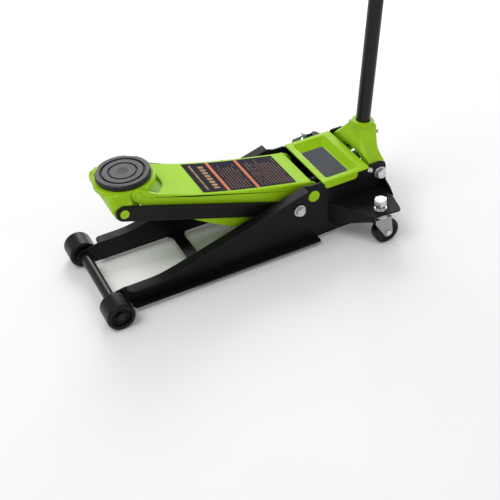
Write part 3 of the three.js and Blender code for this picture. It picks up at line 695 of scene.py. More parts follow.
def chassis_small():
    x = PLATE_IN - G
    bar = slabZ(fil([(-x, 192), (-x + 9, 201, 14), (x - 9, 201, 14), (x, 192), (x, 237), (x - 9, 228, 14), (-x + 9, 228, 14), (-x, 237)], 0, 8), 10, 10 + PLATE_T)
    done(bar, "cross_bar", "chassis", "black_paint", BLACK, 0.6)
    axle = alongX(stepped([[6, -143, -138], [AXLE_END_R, -138, -PLATE_IN + G], [AXLE_R, -PLATE_IN + G, PLATE_IN - G], [AXLE_END_R, PLATE_IN - G, 138], [6, 138, 143]], 1.0), 0, AXLE_Z, 64)
    done(axle, "front_axle", "chassis", "black_paint", BLACK_GLOSS, 0)
    nut = chamfer_hex(22, 137.6, 142.6, atX(0, AXLE_Z))
    nut = cut(nut, alongX(rod(AXLE_END_R + G, 136, 138.4), 0, AXLE_Z, 48), alongX(rod(6 + G, 136, 144), 0, AXLE_Z, 48))
    pair(nut, "axle_nut", "chassis", "black_paint", BLACK_GLOSS, width=0.25)
    rod_ = alongX(stepped([[8, -PLATE_OUT - 4, -PLATE_OUT - G], [6, -PLATE_OUT - G, -PLATE_IN + G], [5.9, -PLATE_IN + G, PLATE_IN - G], [6, PLATE_IN - G, PLATE_OUT + G], [8, PLATE_OUT + G, PLATE_OUT + 4]], 1.4), 581, 18.5, 40)
    done(rod_, "rear_tie_rod", "chassis", "black_paint", BLACK, 0)
    # arm pivot shaft with centre-drilled, chamfered ends
    shaft = alongX([(0, -87.1), (3.2, -88.4), (ARM_PIN_R - 1.2, -88.5), (ARM_PIN_R, -87.3), (ARM_PIN_R, 87.3), (ARM_PIN_R - 1.2, 88.5), (3.2, 88.4), (0, 87.1)], *ARM, 64)
    done(shaft, "arm_pivot_shaft", "chassis", "green_paint", GREEN, 0)
    # link bolts: shank, washer, hexagon head
    y, z = LINK_REAR
    b = alongX(stepped([[LINK_BOLT_R, LINK_X0 - 1.5, PLATE_OUT + G], [14, PLATE_OUT + G, PLATE_OUT + 2.8], [8, PLATE_OUT + 2.8, PLATE_OUT + 3.4]], 0.5), y, z, 64)
    b = add(b, chamfer_hex(22.5, PLATE_OUT + 3.1, PLATE_OUT + 10, atX(y, z), math.radians(12)))
    b = cut(b, alongX([(0, PLATE_OUT + 9.5), (4.6, PLATE_OUT + 9.5), (5.4, PLATE_OUT + 11), (0, PLATE_OUT + 11)], y, z, 40))
    pair(b, "link_bolt", "chassis", "zinc", ZINC, width=0.3)
    y, z = YOKE
    b = alongX(stepped([[7, 61, PLATE_OUT + G], [15, PLATE_OUT + G, PLATE_OUT + 2.8], [9, PLATE_OUT + 2.8, PLATE_OUT + 3.4]], 0.5), y, z, 64)
    b = add(b, chamfer_hex(25, PLATE_OUT + 3.1, PLATE_OUT + 11, atX(y, z), math.radians(20)))
    b = cut(b, alongX([(0, PLATE_OUT + 10.4), (5.2, PLATE_OUT + 10.4), (6.0, PLATE_OUT + 12), (0, PLATE_OUT + 12)], y, z, 40))
    pair(b, "socket_bolt", "chassis", "zinc", ZINC, width=0.3)
    y, z = 620.5, 138.5
    b = alongX(stepped([[4, PLATE_IN + 0.2, PLATE_OUT + 1]]), y, z, 32)
    b = add(b, alongX([(0, PLATE_OUT + G), (7.5, PLATE_OUT + G), (7.5, PLATE_OUT + 1.6), (6.2, PLATE_OUT + 4.4), (3.6, PLATE_OUT + 5.8), (0, PLATE_OUT + 6)], y, z, 48))
    b = cut(b, alongX(rod(2.4, PLATE_OUT + 4.2, PLATE_OUT + 8), y, z, 6))
    pair(b, "stop_bolt", "chassis", "zinc", ZINC, width=0)


def wheels():
    w0, w1 = WHEEL_IN, WHEEL_OUT
    prof = [(AXLE_END_R + G, PLATE_OUT + 0.6), (12.4, PLATE_OUT + 0.6), (13, PLATE_OUT + 1.2), (13, w0 + 1), (15, w0 + 2.2), (20, w0 + 2.2), (22, w0), (WHEEL_R - 3.4, w0), (WHEEL_R - 1.4, w0 + 0.7), (WHEEL_R - 0.3, w0 + 2.2),
            (WHEEL_R, w0 + 4.2), (WHEEL_R, w1 - 5.2), (WHEEL_R - 0.4, w1 - 3.2), (WHEEL_R - 1.6, w1 - 1.4), (WHEEL_R - 3.4, w1 - 0.3), (WHEEL_R - 5.2, w1), (WHEEL_R - 7, w1 - 0.2), (WHEEL_R - 8.2, w1 - 1.2),
            (WHEEL_R - 9.0, w1 - 3), (WHEEL_R - 9.8, w1 - 8.2), (WHEEL_R - 11, w1 - 9.2), (17.2, w1 - 9.4), (15.6, w1 - 8.6), (15.0, w1 - 7.2), (14.2, 137.2 - 0.2), (13.2, 137.2), (AXLE_END_R + G, 137.2), (AXLE_END_R + G, PLATE_OUT + 0.6)]
    w = alongX(prof, 0, AXLE_Z, 96)
    pair(w, "front_wheel", "front_wheel_{s}", "wheel_plastic", NYLON, width=0, sharp=50)

    cx, cy = CASTER
    wy, wz, h = cy + TRAIL, CASTER_R, CASTER_W / 2
    R = CASTER_R
    prof = [(4 + G, cx - h), (8.5, cx - h), (9.2, cx - h + 0.6), (9.8, cx - h + 2.6), (19.6, cx - h + 3.0), (20.8, cx - h + 0.8), (21.6, cx - h), (R - 4, cx - h), (R - 1.6, cx - h + 0.8), (R - 0.3, cx - h + 2.8), (R, cx - h + 5),
            (R, cx + h - 5), (R - 0.3, cx + h - 2.8), (R - 1.6, cx + h - 0.8), (R - 4, cx + h), (21.6, cx + h), (20.8, cx + h - 0.8), (19.6, cx + h - 3.0), (9.8, cx + h - 2.6), (9.2, cx + h - 0.6), (8.5, cx + h), (4 + G, cx + h), (4 + G, cx - h)]
    w = alongX(prof, wy, wz, 80)
    pair(w, "caster_wheel", "caster_wheel_{s}", "wheel_plastic", NYLON, width=0, sharp=50)


def casters():
    x0, zt, zb = PLATE_OUT + G, BRACKET_TOP, BRACKET_TOP - BRACKET_T
    top = slabZ(fil([(x0, 517), (98, 520), (183.2, 570.3, 10), (190.4, 637, 9), (x0, 661)], 0, 8), zb, zt)
    a, b = Vector((98, 521)), Vector((186, 573))
    d = (b - a)
    length = d.length
    d.normalize()
    basis = lambda s, z, h: Vector((a.x - d.y * BRACKET_T + d.x * s + d.y * h, a.y + d.x * BRACKET_T + d.y * s - d.x * h, z))
    gusset = prism(fil([(-10, 38), (4, 38, 4), (length, 77, 6), (length, zt - 0.6), (-10, zt - 0.6)], 0), 0, BRACKET_T, basis)
    foot = slabX(fil([(519, 95, 2), (519, 34, 4), (540, 30, 6), (640, 44, 8), (660, 72, 6), (660, 113, 2), (656, 110.5, 0), (652, 109, 0), (648, zt - 0.5, 0), (552, zt - 0.5, 0), (547, 95, 3)], 0), x0, x0 + BRACKET_T)
    back = slabY(fil([(x0, zb + 1), (180, zb + 1), (180, zt, 0), (136, zt + 0.4, 0), (97, 109, 4), (x0, 109)], 0), 652, 656)
    clip = box(x0, 300, 400, 700, 0, 200)
    br = add(top, inter(gusset, clip), foot, inter(back, slabZ([(x0, 500), (190, 500), (190, 642), (x0, 661)], 0, 200)))
    br = cut(br, alongZ(rod(6 + G, 0, 200), *CASTER), alongX(rod(9.6, 80, 110), 581, 18.5, 40))
    clean(br)
    # folded corner between the top plate and its front gusset
    fold = lambda m, e: abs(m.z - zt) < 0.8 and 96 < m.x < 182 and abs((m.x - a.x) * d.y - (m.y - a.y) * d.x) < 2.2
    bevel(br, 1.8, 3, 30, fold, tidy=False)
    pair(br, "caster_bracket", "chassis", "black_paint", BLACK, width=0.45, angle=40)

    cx, cy = CASTER
    b = alongZ(stepped([[9, 63.4, 67.6], [6, 67.6, 90 + G], [14.5, 90 + G, 92.6], [10.3, 92.6, 102.8]], 0.5), cx, cy, 64)
    b = add(b, chamfer_hex(30, 102.5, 115, atZ(cx, cy), math.radians(30), both=True))
    pair(b, "caster_bolt", "chassis", "zinc", ZINC, width=0.3)
    # swivel race: pressed ring with a groove for its balls
    race = [(6 + G, 72.4), (15.5, 72.4), (17, 73.8), (17, 77.3), (16, 78.2), (15.2, 78.6), (15.2, 79.6), (16, 80), (17, 80.8), (17, 84.4), (15.8, 85.7), (6 + G, 85.7), (6 + G, 72.4)]
    pair(alongZ(race, cx, cy, 64), "swivel_bearing", "chassis", "zinc", ZINC, width=0, sharp=30)

    wy, wz = cy + TRAIL, CASTER_R
    outline = [(cy - 20, 72, 0), (cy - 20, 62, 4)] + [(p[0], p[1]) for p in arc(wy, wz, 11, 205, 360)] + [(cy + 20, 62, 4), (cy + 20, 72, 0)]
    inner, outer = CASTER_W / 2 + 1.5, CASTER_W / 2 + 4.5
    f = add(slabX(fil(outline, 0), cx - outer, cx - inner), slabX(fil(outline, 0), cx + inner, cx + outer), box(cx - outer, cx + outer, cy - 20, cy + 20, 68.6, 72))
    f = cut(f, alongZ(rod(6 + G, 60, 80), cx, cy), alongX(rod(4 + G, cx - 30, cx + 30), wy, wz))
    clean(f)
    crown = lambda m, e: abs(m.z - 72) < 0.05 and abs(abs(m.x - cx) - outer) < 0.05
    bevel(f, 2.6, 4, 30, crown, tidy=False)
    pair(f, "caster_fork", "caster_fork_{s}", "zinc", FORK_ZINC, width=0.35, angle=40)
    x = stepped([[6.5, cx - outer - 2.8, cx - outer - G], [4, cx - outer - G, cx + outer + G], [6.5, cx + outer + G, cx + outer + 2.8]], 0.9)
    pair(alongX(x, wy, wz, 40), "caster_axle", "caster_fork_{s}", "zinc", ZINC, width=0, sharp=45)


# ------------------------------------------------------------------ lift arm
arm_top = [(120, 243.5), (133, 241.5), (167, 229.8), (205, 215), (239, 203.8), (316, 182.8), (380, 168), (453, 152.6), (484, 147.5)]
arm_curve = smooth_line(arm_top, 5)


def lift_arm():
    below = lambda k: [(y, z - k) for y, z in arm_curve]
    cheek = arc(HEAD[0], HEAD[1], EYE_R, 235, 75) + [(112, 258.3), (125, 250), (133, 245), (140, 240.3)] + [p for p in below(1) if p[0] > 166] + arc(ARM[0], ARM[1], 24, 72, 0) + [(504, 70)] + arc(LUG[0], LUG[1], 13.5, 10, -110) \
        + smooth_line([(420, 58), (350, 78), (305, 94), (231, 137), (160, 184), (112, 214)], 5)
    x, t = ARM_HALF, CHEEK_T
    plate = slabX(arm_curve + below(4.5)[::-1], -x, x)
    notch = alongZ(rod(76, 150, 300), 0, SADDLE_Y, 96)
    keep = box(-x + t, x - t, 0, 170, 150, 300)
    arm = add(cut(plate, inter(notch, keep)), slabX(cheek, -x, -x + t), slabX(cheek, x - t, x))
    # curved wall and floor that close the pocket round the saddle
    under = slabX([(y, z - 1) for y, z in arm_curve if y < 168] + [(193.4, 218.5), (120, 218.5)], -x + t - 0.5, x - t + 0.5)
    wall = inter(alongZ(ring(74.3, 78, 218.5, 300), 0, SADDLE_Y, 120), box(-x + 1, x - 1, 125, 300, 200, 300), under)
    ground = inter(alongZ(rod(77, 218.5, 222), 0, SADDLE_Y, 120), box(-x + t - 0.5, x - t + 0.5, 132, 300, 200, 300))
    arm = add(arm, wall, ground)
    arm = add(arm, box(-x + 1, x - 1, 332, 338, 88, 178), slabX([(424, 62), (430, 60), (430, 70), (424, 72)], -x + 1, x - 1))
    arm = cut(arm, alongX(rod(8 + G, -80, 80), *HEAD), alongX(rod(ARM_PIN_R + G, -80, 80), *ARM, 64), alongX(rod(LUG_R + G, -80, 80), *LUG))
    clean(arm)
    # rolled top corners of the pressed arm
    roll = lambda m, e: abs(abs(m.x) - x) < 0.05 and 141 < m.y < 483 and abs(m.z - line_at(arm_curve, m.y)) < 0.35
    bevel(arm, 4.0, 5, 30, roll, tidy=False)
    done(arm, "lift_arm", "lift_arm", "green_paint", GREEN, 0.5, 2, 42)

    seg = [p for p in smooth_line([(237, 204.4), (316, 182.8), (380, 168), (452, 152.8)], 8)]
    seg = [(y, line_at(arm_curve, y)) for y, _ in seg]
    lab = slabX([(y, z + 0.35) for y, z in seg] + [(y, z + 0.75) for y, z in reversed(seg)], -60.5, 60.5)
    done(lab, "arm_label", "lift_arm", "label_film", LABEL, 0, sharp=60)
    lug = alongX(stepped([[LUG_R, -70.5, 70.5]], 0.8), *LUG)
    done(lug, "lug_shaft", "lift_arm", "steel", STEEL, 0)
    roller = alongX([(LUG_R + G, -22), (ROLLER_R - 1, -22), (ROLLER_R, -21), (ROLLER_R, 21), (ROLLER_R - 1, 22), (LUG_R + G, 22), (LUG_R + G, -22)], *LUG)
    done(roller, "push_roller", "push_roller", "steel", STEEL, 0)


def links():
    (y1, z1), (y0, z0) = LINK_FRONT, LINK_REAR
    a = math.degrees(math.atan2(z1 - z0, y1 - y0))
    bar = slabX(arc(y1, z1, LINK_HALF, a - 90, a + 90, 24) + arc(y0, z0, LINK_HALF, a + 90, a + 270, 24), LINK_X0, LINK_X1)
    bar = cut(bar, alongX(rod(LINK_PIN_R + 1.2, 60, 90), y1, z1), alongX(rod(LINK_BOLT_R + G, 60, 90), y0, z0))
    bar = add(bar, alongX(ring(LINK_BOLT_R + G, 12, LINK_X1 - 0.5, PLATE_IN - G), y0, z0))
    clean(bar)
    rim = lambda m, e: (abs(m.x - LINK_X1) < 0.05 or abs(m.x - LINK_X0) < 0.05) and (m.yz - Vector(LINK_FRONT)).length > 13 and (m.yz - Vector(LINK_REAR)).length > 13
    bevel(bar, 1.1, 3, 30, rim, tidy=False)
    pair(bar, "link_bar", "link_{s}", "black_paint", BLACK, width=0.3, angle=40)


def saddle_head():
    (ly, lz), (hy, hz), top = LINK_FRONT, HEAD, SEAT_Z - 0.5
    wide = slabX(fil([(39, 229, 0)] + [(p[0], p[1], 0) for p in arc(ly, lz, 19.5, 176, 325)] + [(81.5, 231, 0), (81.5, top - 1, 2), (44, top - 1, 3), (39, 254, 8)], 0), -71.6, 71.6)
    sides = slabY(fil([(-71.6, 190), (71.6, 190), (71.6, 240, 5), (56.5, 262.5, 0), (-56.5, 262.5, 0), (-71.6, 240, 5)], 0), 30, 90)
    wide = cut(inter(wide, sides), alongX(rod(EYE_R + 0.8, -80, -61), hy, hz, 64), alongX(rod(EYE_R + 0.8, 61, 80), hy, hz, 64))
    half = ARM_HALF - CHEEK_T - 0.6
    block = slabX(fil([(60, 214), (90, 222, 6), (118, 236, 6), (122, 248), (122, top), (50, top), (50, 214)], 0), -half, half)
    boss = inter(alongZ(stepped([[60, 246, 249], [64, 249, top]], 1.6), 0, SADDLE_Y, 96), box(-half, half, 0, 200, 200, 300))
    head = add(wide, block, boss)
    head = cut(head, alongX(rod(LINK_PIN_R + G, -90, 90), ly, lz), alongX(rod(8 + G, -90, -38), hy, hz), alongX(rod(8 + G, 38, 90), hy, hz),
               alongZ(rod(SPINDLE_R + G, 200, 300), 0, SADDLE_Y), box(-30, 30, 84, 140, 200, 236))
    clean(head)
    big = lambda m, e: abs(abs(m.x) - 71.6) < 0.05 and (m.yz - Vector(LINK_FRONT)).length > 14 and m.z > 212
    bevel(head, 2.4, 3, 30, big, tidy=False)
    done(head, "saddle_head", "saddle_head", "green_paint", GREEN_CAST, 0.6, 2, 45)
    pin = alongX(stepped([[8, 39, 71]], 0.8), hy, hz)
    pair(pin, "head_pin", "saddle_head", "green_paint", GREEN, width=0)
    lp = alongX([(0, -80.6), (2.6, -82), (LINK_PIN_R - 1.3, -82), (LINK_PIN_R, -80.8), (LINK_PIN_R, 80.8), (LINK_PIN_R - 1.3, 82), (2.6, 82), (0, 80.6)], ly, lz, 56)
    done(lp, "link_pin", "saddle_head", "green_paint", GREEN, 0)

    seat = alongZ([(0, 238), (SPINDLE_R - 1, 238), (SPINDLE_R, 239), (SPINDLE_R, SEAT_Z), (52, SEAT_Z), (53, SEAT_Z + 1), (53, 267), (52, 268), (0, 268)], 0, SADDLE_Y, 96)
    done(seat, "saddle_seat", "saddle", "steel", STEEL, 0)

    # rubber pad: two round grooves, a centre disc, four rim notches
    r, t, u = SADDLE_R, SADDLE_TOP, SEAT_Z + 0.4
    top_prof = [(0, t - 1.0), (11.3, t - 1.0), (12.3, t - 0.5), (25.6, t - 0.5), (26.6, t - 0.8), (27.2, t - 3.4), (30.2, t - 3.4), (30.8, t - 0.8), (31.8, t - 0.4), (40.6, t - 0.4), (41.6, t - 0.8), (42.3, t - 4.0), (46.3, t - 4.0), (46.9, t - 0.6), (47.9, t)]
    prof = top_prof + [(r - 2.2, t), (r - 1.0, t - 0.4), (r - 0.3, t - 1.3), (r, t - 2.8), (r, u + 2.2), (r - 0.5, u + 0.8), (r - 1.6, u), (53.3, u), (53.3, 268.3), (0, 268.3)]
    pad = alongZ(prof, 0, SADDLE_Y, 144)
    for k in range(4):
        ang = math.radians(-37 + 90 * k)
        c = Vector((math.cos(ang), math.sin(ang)))
        s = Vector((-c.y, c.x))
        n = []
        for rad, w in ((r - 3.6, -13.5), (r + 4, -13.5), (r + 4, 13.5), (r - 3.6, 13.5)):
            q = c * rad + s * w
            n.append((q.x, q.y + SADDLE_Y))
        wedge = slabZ(n, t - 5.2, t + 3)
        pad = cut(pad, wedge)
    o = done(pad, "saddle_pad", "saddle", "pad_rubber", PAD, 0.35, 2, 60, sharp=40)
    # the pad's sides, lower rim and groove walls take the near-black rubber as painted shade; the top's lighter grey is
    # its lit tone
    o.data.materials.append(PAD_SHADE_SIDE)
    o.data.materials.append(PAD_CENTRE)
    for p in o.data.polygons:
        rad = math.hypot(p.center.x, p.center.y - (SADDLE_Y - OY) * 0.001)
        groove = 0.0268 < rad < 0.0306 or 0.0419 < rad < 0.0467
        if rad > 0.0556 or p.center.z < (t - 3.0) * 0.001 or (groove and p.center.z < (t - 1.2) * 0.001) or (rad > 0.0525 and p.center.z < (t - 0.9) * 0.001):
            p.material_index = 1
        elif rad < 0.0118:
            p.material_index = 2


# ------------------------------------------------------------------ hydraulic unit
def tube_mesh(points, radius, n=10):
    bm = bmesh.new()
    rings = []
    m = len(points)
    up = Vector((0, 1, 0))
    for i, p in enumerate(points):
        d = (points[min(i + 1, m - 1)] - points[max(i - 1, 0)]).normalized()
        side = d.cross(up)
        if side.length < 1e-6:
            side = Vector((1, 0, 0))
        side.normalize()
        other = side.cross(d).normalized()
        rings.append([bm.verts.new(p + side * (radius * math.cos(2 * math.pi * k / n)) + other * (radius * math.sin(2 * math.pi * k / n))) for k in range(n)])
    for a, b in zip(rings, rings[1:]):
        for k in range(n):
            bm.faces.new((a[k], a[(k + 1) % n], b[(k + 1) % n], b[k]))
    bm.faces.new(rings[0][::-1])
    bm.faces.new(rings[-1])
    return to_obj(bm)


def hydraulics():
    f = RAM_FACE
    head = add(slabY(fil([(-30, 40), (30, 40), (30, 82), (-30, 82)], 4), f, f + 13), slabY(fil([(-54, 52), (54, 52), (54, 70), (-54, 70)], 5), f + 2, f + 11))
    head = add(head, alongY(rod(RAM_R, f + 12, 598, 1.0), 0, RAM_Z, 64))
    done(head, "ram", "ram", "chrome", CHROME, 0.5)
    prof = [(0, CYL_Y0), (24, CYL_Y0), (26, CYL_Y0 + 1), (28, CYL_Y0 + 4), (28, CYL_Y0 + 10), (CYL_R - 2, CYL_Y0 + 11.5), (CYL_R, CYL_Y0 + 14), (CYL_R, CYL_Y1 - 3), (0, CYL_Y1 - 3)]
    cyl = cut(alongY(prof, 0, RAM_Z, 80), alongY(rod(RAM_R + G, CYL_Y0 - 5, 627), 0, RAM_Z, 48), alongZ(rod(6 + G, RAM_Z + 30, RAM_Z + 60), 0, 590, 32))
    done(cyl, "hydraulic_cylinder", "chassis", "black_paint", BLACK_GLOSS, 0.4, 2, 35)
    plug = alongZ(stepped([[6, RAM_Z + 32, RAM_Z + CYL_R + G], [8.5, RAM_Z + CYL_R + G, RAM_Z + CYL_R + 4]], 0.6), 0, 590, 32)
    plug = cut(plug, box(-9, 9, 589.2, 590.8, RAM_Z + CYL_R + 2.6, RAM_Z + CYL_R + 6))
    done(plug, "filler_plug", "chassis", "trim_plastic", TRIM, 0.25)
    block = add(slabZ(fil([(-40, CYL_Y1 - 2.6), (40, CYL_Y1 - 2.6), (40, 686), (-40, 686)], 5), 30, 92), slabY(fil([(-56, 50), (56, 50), (56, 72), (-56, 72)], 5), CYL_Y1 - 2.6, CYL_Y1 + 12))
    block = add(block, alongZ(rod(11, 90, 95, 0.6), 0, PLUNGER_Y, 48), box(17, 38, 645, 684, 90, 110), box(-38, -17, 645, 684, 90, 110))
    block = cut(block, alongZ(rod(6 + G, 47, 120), 0, PLUNGER_Y, 40), alongZ(rod(5 + G, 70, 120), 0, YOKE[0], 40))
    done(block, "pump_block", "chassis", "block_iron", BLOCK, 1.0, 3)
    m = slabY(fil([(40.3, 36), (PLATE_IN - G, 36), (PLATE_IN - G, 48), (40.3, 48)], 0), 632, 644)
    pair(m, "unit_mount", "chassis", "black_paint", BLACK, width=0.8)
    pl = alongZ(stepped([[6, 74, PLUNGER_TOP - 4], [8, PLUNGER_TOP - 4, PLUNGER_TOP]], 0.7), 0, PLUNGER_Y, 40)
    done(pl, "pump_plunger", "pump_plunger", "chrome", CHROME, 0)
    v = alongZ(stepped([[5, 72, 92 + G], [8.5, 92 + G, 101], [5.5, 101, 112]], 0.6), 0, YOKE[0], 40)
    v = cut(v, box(-1.2, 1.2, YOKE[0] - 7, YOKE[0] + 7, 108, 114))
    done(v, "release_valve", "release_valve", "zinc", ZINC, 0.2)
    # return springs: coils that stretch between the ram head and the pump block
    y0, y1 = f + 11.4, CYL_Y1 - 3
    turns = 26
    pts = []
    n = turns * 16
    for i in range(n + 1):
        s = i / n
        ang = 2 * math.pi * turns * s
        pts.append(Vector((47 + 6.9 * math.cos(ang), y0 + 1.2 + (y1 - y0 - 2.4) * s, RAM_Z + 6.9 * math.sin(ang))))
    for side, sx in (("left", 1), ("right", -1)):
        pp = [Vector((p.x * sx, p.y, p.z)) for p in pts]
        s = tube_mesh(pp, 1.05, 8)
        s.data.transform(TO_ROW)
        s.data.shade_smooth()
        s.name = f"fine_return_spring_{side}"
        s.data.materials.append(STEEL)
        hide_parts(f"return_spring_{side}")
        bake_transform(s)


# ------------------------------------------------------------------ cover and tray
def cover():
    x1, z = 90, 150
    side = PLATE_OUT + G
    outline = [(-x1, z, 4.0), (-x1, 131.5, 0), (-side, 131.5, 0), (-side, 146.4, 1.2), (side, 146.4, 1.2), (side, 131.5, 0), (x1, 131.5, 0), (x1, z, 4.0)]
    c = slabY(fil(outline, 0, 8), 502, 617.5)
    for s in (1, -1):
        xs = sorted((s * 86, s * 100))
        # skirts are shorter than the top and round off at both lower corners
        skirt = slabX(fil([(506, 160), (506, 131.4, 9), (588, 131.4, 9), (588, 160)], 0, 8), *xs)
        whole = slabX([(480, 146.2), (480, 100), (640, 100), (640, 146.2)], *xs)
        c = cut(c, cut(whole, skirt))
    # well with sloping walls round the tray
    def tapered(xb, y0, y1, z0, z1, r):
        h = z1 - z0
        return prism_taper([(-xb, y0), (xb, y0), (xb, y1), (-xb, y1)], [(-xb - 1.173 * h, y0 - 0.648 * h), (xb + 1.173 * h, y0 - 0.648 * h), (xb + 1.173 * h, y1 + 0.802 * h), (-xb - 1.173 * h, y1 + 0.802 * h)], z0, z1, r, r + 3)
    c = add(c, tapered(59.5, 525.2, 587.4, 131.6, 148.5, 5))
    c = cut(c, tapered(58, 526.5, 586, 133.8, 152, 4))
    clean(c)
    lip = lambda m, e: abs(m.z - 150) < 0.02 and abs(m.x) < 79 and 514 < m.y < 602
    bevel(c, 1.6, 4, 20, lip, tidy=False)
    rear = lambda m, e: abs(m.z - 150) < 0.02 and m.y > 617
    bevel(c, 2.4, 4, 40, rear, tidy=False)
    done(c, "cover_plate", "chassis", "green_paint", GREEN, 0.7, 3, 30)
    mat_ = slabZ(fil([(-57, 527.5), (57, 527.5), (57, 583), (-57, 583)], 3, 5), 134.1, 135.2)
    ribs = [box(-54, 54, 529.8 + 4.4 * k, 531.6 + 4.4 * k, 135.0, 135.6) for k in range(12)]
    for rb in ribs:
        mat_ = add(mat_, rb)
    done(mat_, "tray_mat", "chassis", "tray_rubber", TRAY, 0.15, 1)


def prism_taper(low, high, z0, z1, r=4.0, r1=None):
    a, b = fil(low, r, 6), fil(high, r if r1 is None else r1, 6)
    bm = bmesh.new()
    lo = [bm.verts.new((p[0], p[1], z0)) for p in a]
    hi = [bm.verts.new((p[0], p[1], z1)) for p in b]
    bm.faces.new(lo[::-1])
    bm.faces.new(hi)
    n = len(a)
    for i in range(n):
        bm.faces.new((lo[i], lo[(i + 1) % n], hi[(i + 1) % n], hi[i]))
    return to_obj(bm)


# ------------------------------------------------------------------ handle socket and handle
ON_SOCKET = Matrix.Translation((0, YOKE[0], YOKE[1])) @ Matrix.Rotation(-LEAN, 4, "X")


def handle_socket():
    xo = PLATE_IN - 0.8
    arch = [(0, 27, 0), (20, 26.5, 6), (32, 23, 8), (42, 15, 5), (44, 5, 4), (44, -15, 0)]

    def outline(outer):
        half = arch + outer + [(0, 82, 0)]
        return eased(half + [(-x, z, r) for x, z, r in reversed(half[1:-1])])
    front = outline([(xo - 7, -15, 0), (xo - 7, 12, 5), (61, 27, 5), (42, 44, 8), (20, 68, 5), (20, 82, 0)])
    crest = outline([(xo, -15, 0), (xo, 17, 5), (67, 32, 5), (47, 51, 8), (22.5, 74, 5), (22, 82, 0)])
    rear = outline([(xo, -15, 0), (xo, 17, 5), (62, 24, 5), (40, 34, 8), (25, 62, 5), (22, 82, 0)])
    side = slabX(fil([(-16, -8, 0)] + [(p[0], p[1], 0) for p in arc(0, 0, 16, 210, 330)] + [(16, -8, 0), (17, 26, 6), (22, 60, 6), (22, 84, 0), (-22, 84, 0), (-23, 66, 8), (-30, 50, 4), (-31, 40, 4), (-24, 24, 4), (-20, 6, 4)], 0), -100, 100)
    y = inter(loftY([(-34, front), (-23, crest), (23, rear)]), side)
    y = add(y, alongZ([(0, 56), (22.5, 56), (22.5, 76.5), (23.2, 77.6), (SOCKET_R - 0.6, 78.4), (SOCKET_R, 79.8), (SOCKET_R, SOCKET_TOP - 1.6), (SOCKET_R - 0.7, SOCKET_TOP - 0.4), (SOCKET_R - 2, SOCKET_TOP), (0, SOCKET_TOP)], 0, 0, 80))
    turn = lambda o: move(move(o, Matrix.Rotation(math.radians(66), 4, "Z")), Matrix.Translation((0, 0, 60)))
    y = add(y, turn(alongX([(0, 18), (8, 18), (8, 26.2), (7.2, 27), (0, 27)], 0, 0, 48)))
    finger = fil([(4, 52), (20, 60), (27.5, 14, 3), (25, 3, 5), (15, 3, 5), (12.5, 12, 3), (2, 46)], 0)
    y = add(y, slabX(finger, 8, 12.5), slabX(finger, -12.5, -8))
    y = cut(y, alongZ(rod(TUBE_R + 0.4, 30, 120), 0, 0, 64), alongX(rod(7 + G, -100, 100), 0, 0, 48), turn(alongX(rod(2.8 + G, 0, 60), 0, 0, 32)),
            alongX(rod(3 + G, -20, 20), *PUMP_ROLLER, 32), alongZ(rod(6.6, 0, 40), 0, 0, 48))
    move(y, ON_SOCKET)
    done(y, "handle_socket", "handle_socket", "green_paint", GREEN_CAST, 0)
    lock = alongX(stepped([[2.8, TUBE_R + 0.7, 33.5], [5, 33.5, 37]], 0.5), 0, 0, 32)
    lock = add(lock, chamfer_hex(13, 27 + G, 30.8, atX(0, 0), both=True))
    move(turn(lock), ON_SOCKET)
    done(lock, "handle_lock_bolt", "handle_socket", "zinc", ZINC, 0.25)
    r = move(alongX(stepped([[3, -13, -7.5], [7, -7.5, 7.5], [3, 7.5, 13]], 0.6), *PUMP_ROLLER, 40), ON_SOCKET)
    done(r, "pump_roller", "handle_socket", "steel", STEEL, 0)


def handle():
    z, j, t = 32, 560, 1010
    s = move(alongZ(stepped([[6, -8, 8], [4.5, 8, 34], [13.6, 34, 40]], 0.5), 0, 0, 40), ON_SOCKET)
    done(s, "valve_shaft", "handle", "steel", STEEL, 0)
    lower = [(14.2, z), (TUBE_R - 0.8, z), (TUBE_R, z + 0.8), (TUBE_R, j - 0.6), (TUBE_R - 0.6, j), (14.2, j), (14.2, z)]
    done(move(alongZ(lower, 0, 0, 64), ON_SOCKET), "handle_tube_lower", "handle", "black_paint", BLACK_GLOSS, 0)
    upper = [(11.5, j - 60), (13.9, j - 60), (13.9, j + G), (TUBE_R - 0.8, j + 0.6), (TUBE_R, j + 1.8), (TUBE_R, j + 13), (TUBE_R - 0.6, j + 14.6), (13.9, j + 18), (13.9, t - 4), (11.5, t - 4), (11.5, j - 60)]
    up = alongZ(upper, 0, 0, 64)
    # spring button that locks the two tubes together
    up = add(up, move(alongX([(0, 10), (3.6, 10), (3.6, 15.2), (2.6, 15.9), (0, 16.0)], 0, 0, 24), Matrix.Translation((0, 0, j + 40))))
    done(move(up, ON_SOCKET), "handle_tube_upper", "handle", "black_paint", BLACK_GLOSS, 0)
    # grip: foam rubber sleeve with finger rings
    p = [(14.2, t - 150), (17.0, t - 150), (17.8, t - 149), (18.5, t - 147)]
    k = t - 144.0
    while k < t - 12:
        p += [(18.5, k), (17.9, k + 0.8), (17.9, k + 2.0), (18.5, k + 2.8)]
        k += 6.0
    p += [(18.5, t - 6), (18.2, t - 4), (17.4, t - 3), (14.2, t - 3), (14.2, t - 150)]
    done(move(alongZ(p, 0, 0, 64), ON_SOCKET), "handle_grip", "handle", "grip_rubber", GRIP, 0, sharp=60)
    cap = alongZ([(0, t - 20), (10.4, t - 20), (11.2, t - 19), (11.2, t - 2.7), (17.4, t - 2.7), (18, t - 2.1), (18, t + 0.6), (17.2, t + 2.2), (15, t + 3.4), (11, t + 3.9), (0, t + 4)], 0, 0, 64)
    done(move(cap, ON_SOCKET), "handle_end_cap", "handle", "trim_plastic", TRIM, 0)


side_plates()
chassis_small()
wheels()
casters()
lift_arm()
links()
saddle_head()
hydraulics()
cover()
handle_socket()
handle()

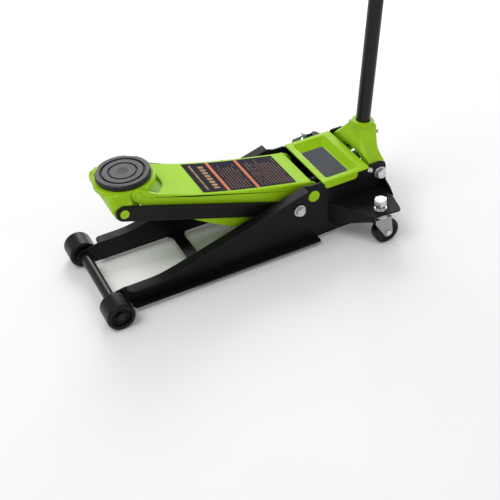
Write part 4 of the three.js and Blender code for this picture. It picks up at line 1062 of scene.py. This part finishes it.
# ------------------------------------------------------------------ stage
lo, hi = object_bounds()
bpy.ops.mesh.primitive_plane_add(size=14, location=(0, 0, -0.0004))
floor = bpy.context.object
floor.name = "floor"
m, t, b, tc = nodes_of("floor_paper")
link(t, two_tone(t, noise(t, tc, 1.2, 3.0), (0.90, 0.90, 0.90), (0.93, 0.93, 0.93)), b.inputs["Base Color"])
link(t, ranged(t, noise(t, tc, 40.0, 3.0), 0.85, 0.95), b.inputs["Roughness"])
b.inputs["Specular IOR Level"].default_value = 0.1
floor.data.materials.append(m)


def area(name, where, towards, size, power, size_y=None):
    l = bpy.data.lights.new(name, "AREA")
    l.energy = power
    l.size = size
    if size_y:
        l.shape = "RECTANGLE"
        l.size_y = size_y
    o = bpy.data.objects.new(name, l)
    scene.collection.objects.link(o)
    o.location = where
    o.rotation_mode = "QUATERNION"
    o.rotation_quaternion = (Vector(towards) - Vector(where)).to_track_quat("-Z", "Y")
    return o


centre = (lo + hi) / 2
area("key", (0.3, -1.6, 2.9), (0, 0, 0.1), 1.9, 35, 1.5)
area("fill", (2.6, 1.2, 1.7), (0, 0, 0.1), 1.6, 12)
area("back", (-2.4, 0.9, 2.1), (0, 0, 0.1), 1.6, 44)
area("strip", (-1.87, 2.04, 0.27), (0, 0.25, 0.15), 1.2, 24, 0.25)
world = bpy.data.worlds.new("studio")
world.use_nodes = True
bg = world.node_tree.nodes["Background"]
bg.inputs["Color"].default_value = (1, 1, 1, 1)
bg.inputs["Strength"].default_value = 0.52
scene.world = world
scene.view_settings.view_transform = "Standard"
scene.view_settings.look = "None"

# camera: the view that the proportions were solved with
cam = bpy.data.cameras.new("camera")
cam.sensor_width = 36.0
cam.lens = 982.36 * 36.0 / 500.0
cam.clip_start, cam.clip_end = 0.05, 60
co = bpy.data.objects.new("camera", cam)
scene.collection.objects.link(co)
az, el, roll = math.radians(66.45), math.radians(38.37), math.radians(-4.62)
back = Vector((math.sin(az) * math.cos(el), -math.cos(az) * math.cos(el), math.sin(el)))
fwd = -back
right = fwd.cross(Vector((0, 0, 1))).normalized()
up = right.cross(fwd)
r2 = right * math.cos(roll) + up * math.sin(roll)
u2 = -right * math.sin(roll) + up * math.cos(roll)
place = Matrix((r2, u2, back)).transposed().to_4x4()
place.translation = Vector((1.6158, -0.3475 - OY * 0.001, 1.3585))
co.matrix_world = place
scene.camera = co
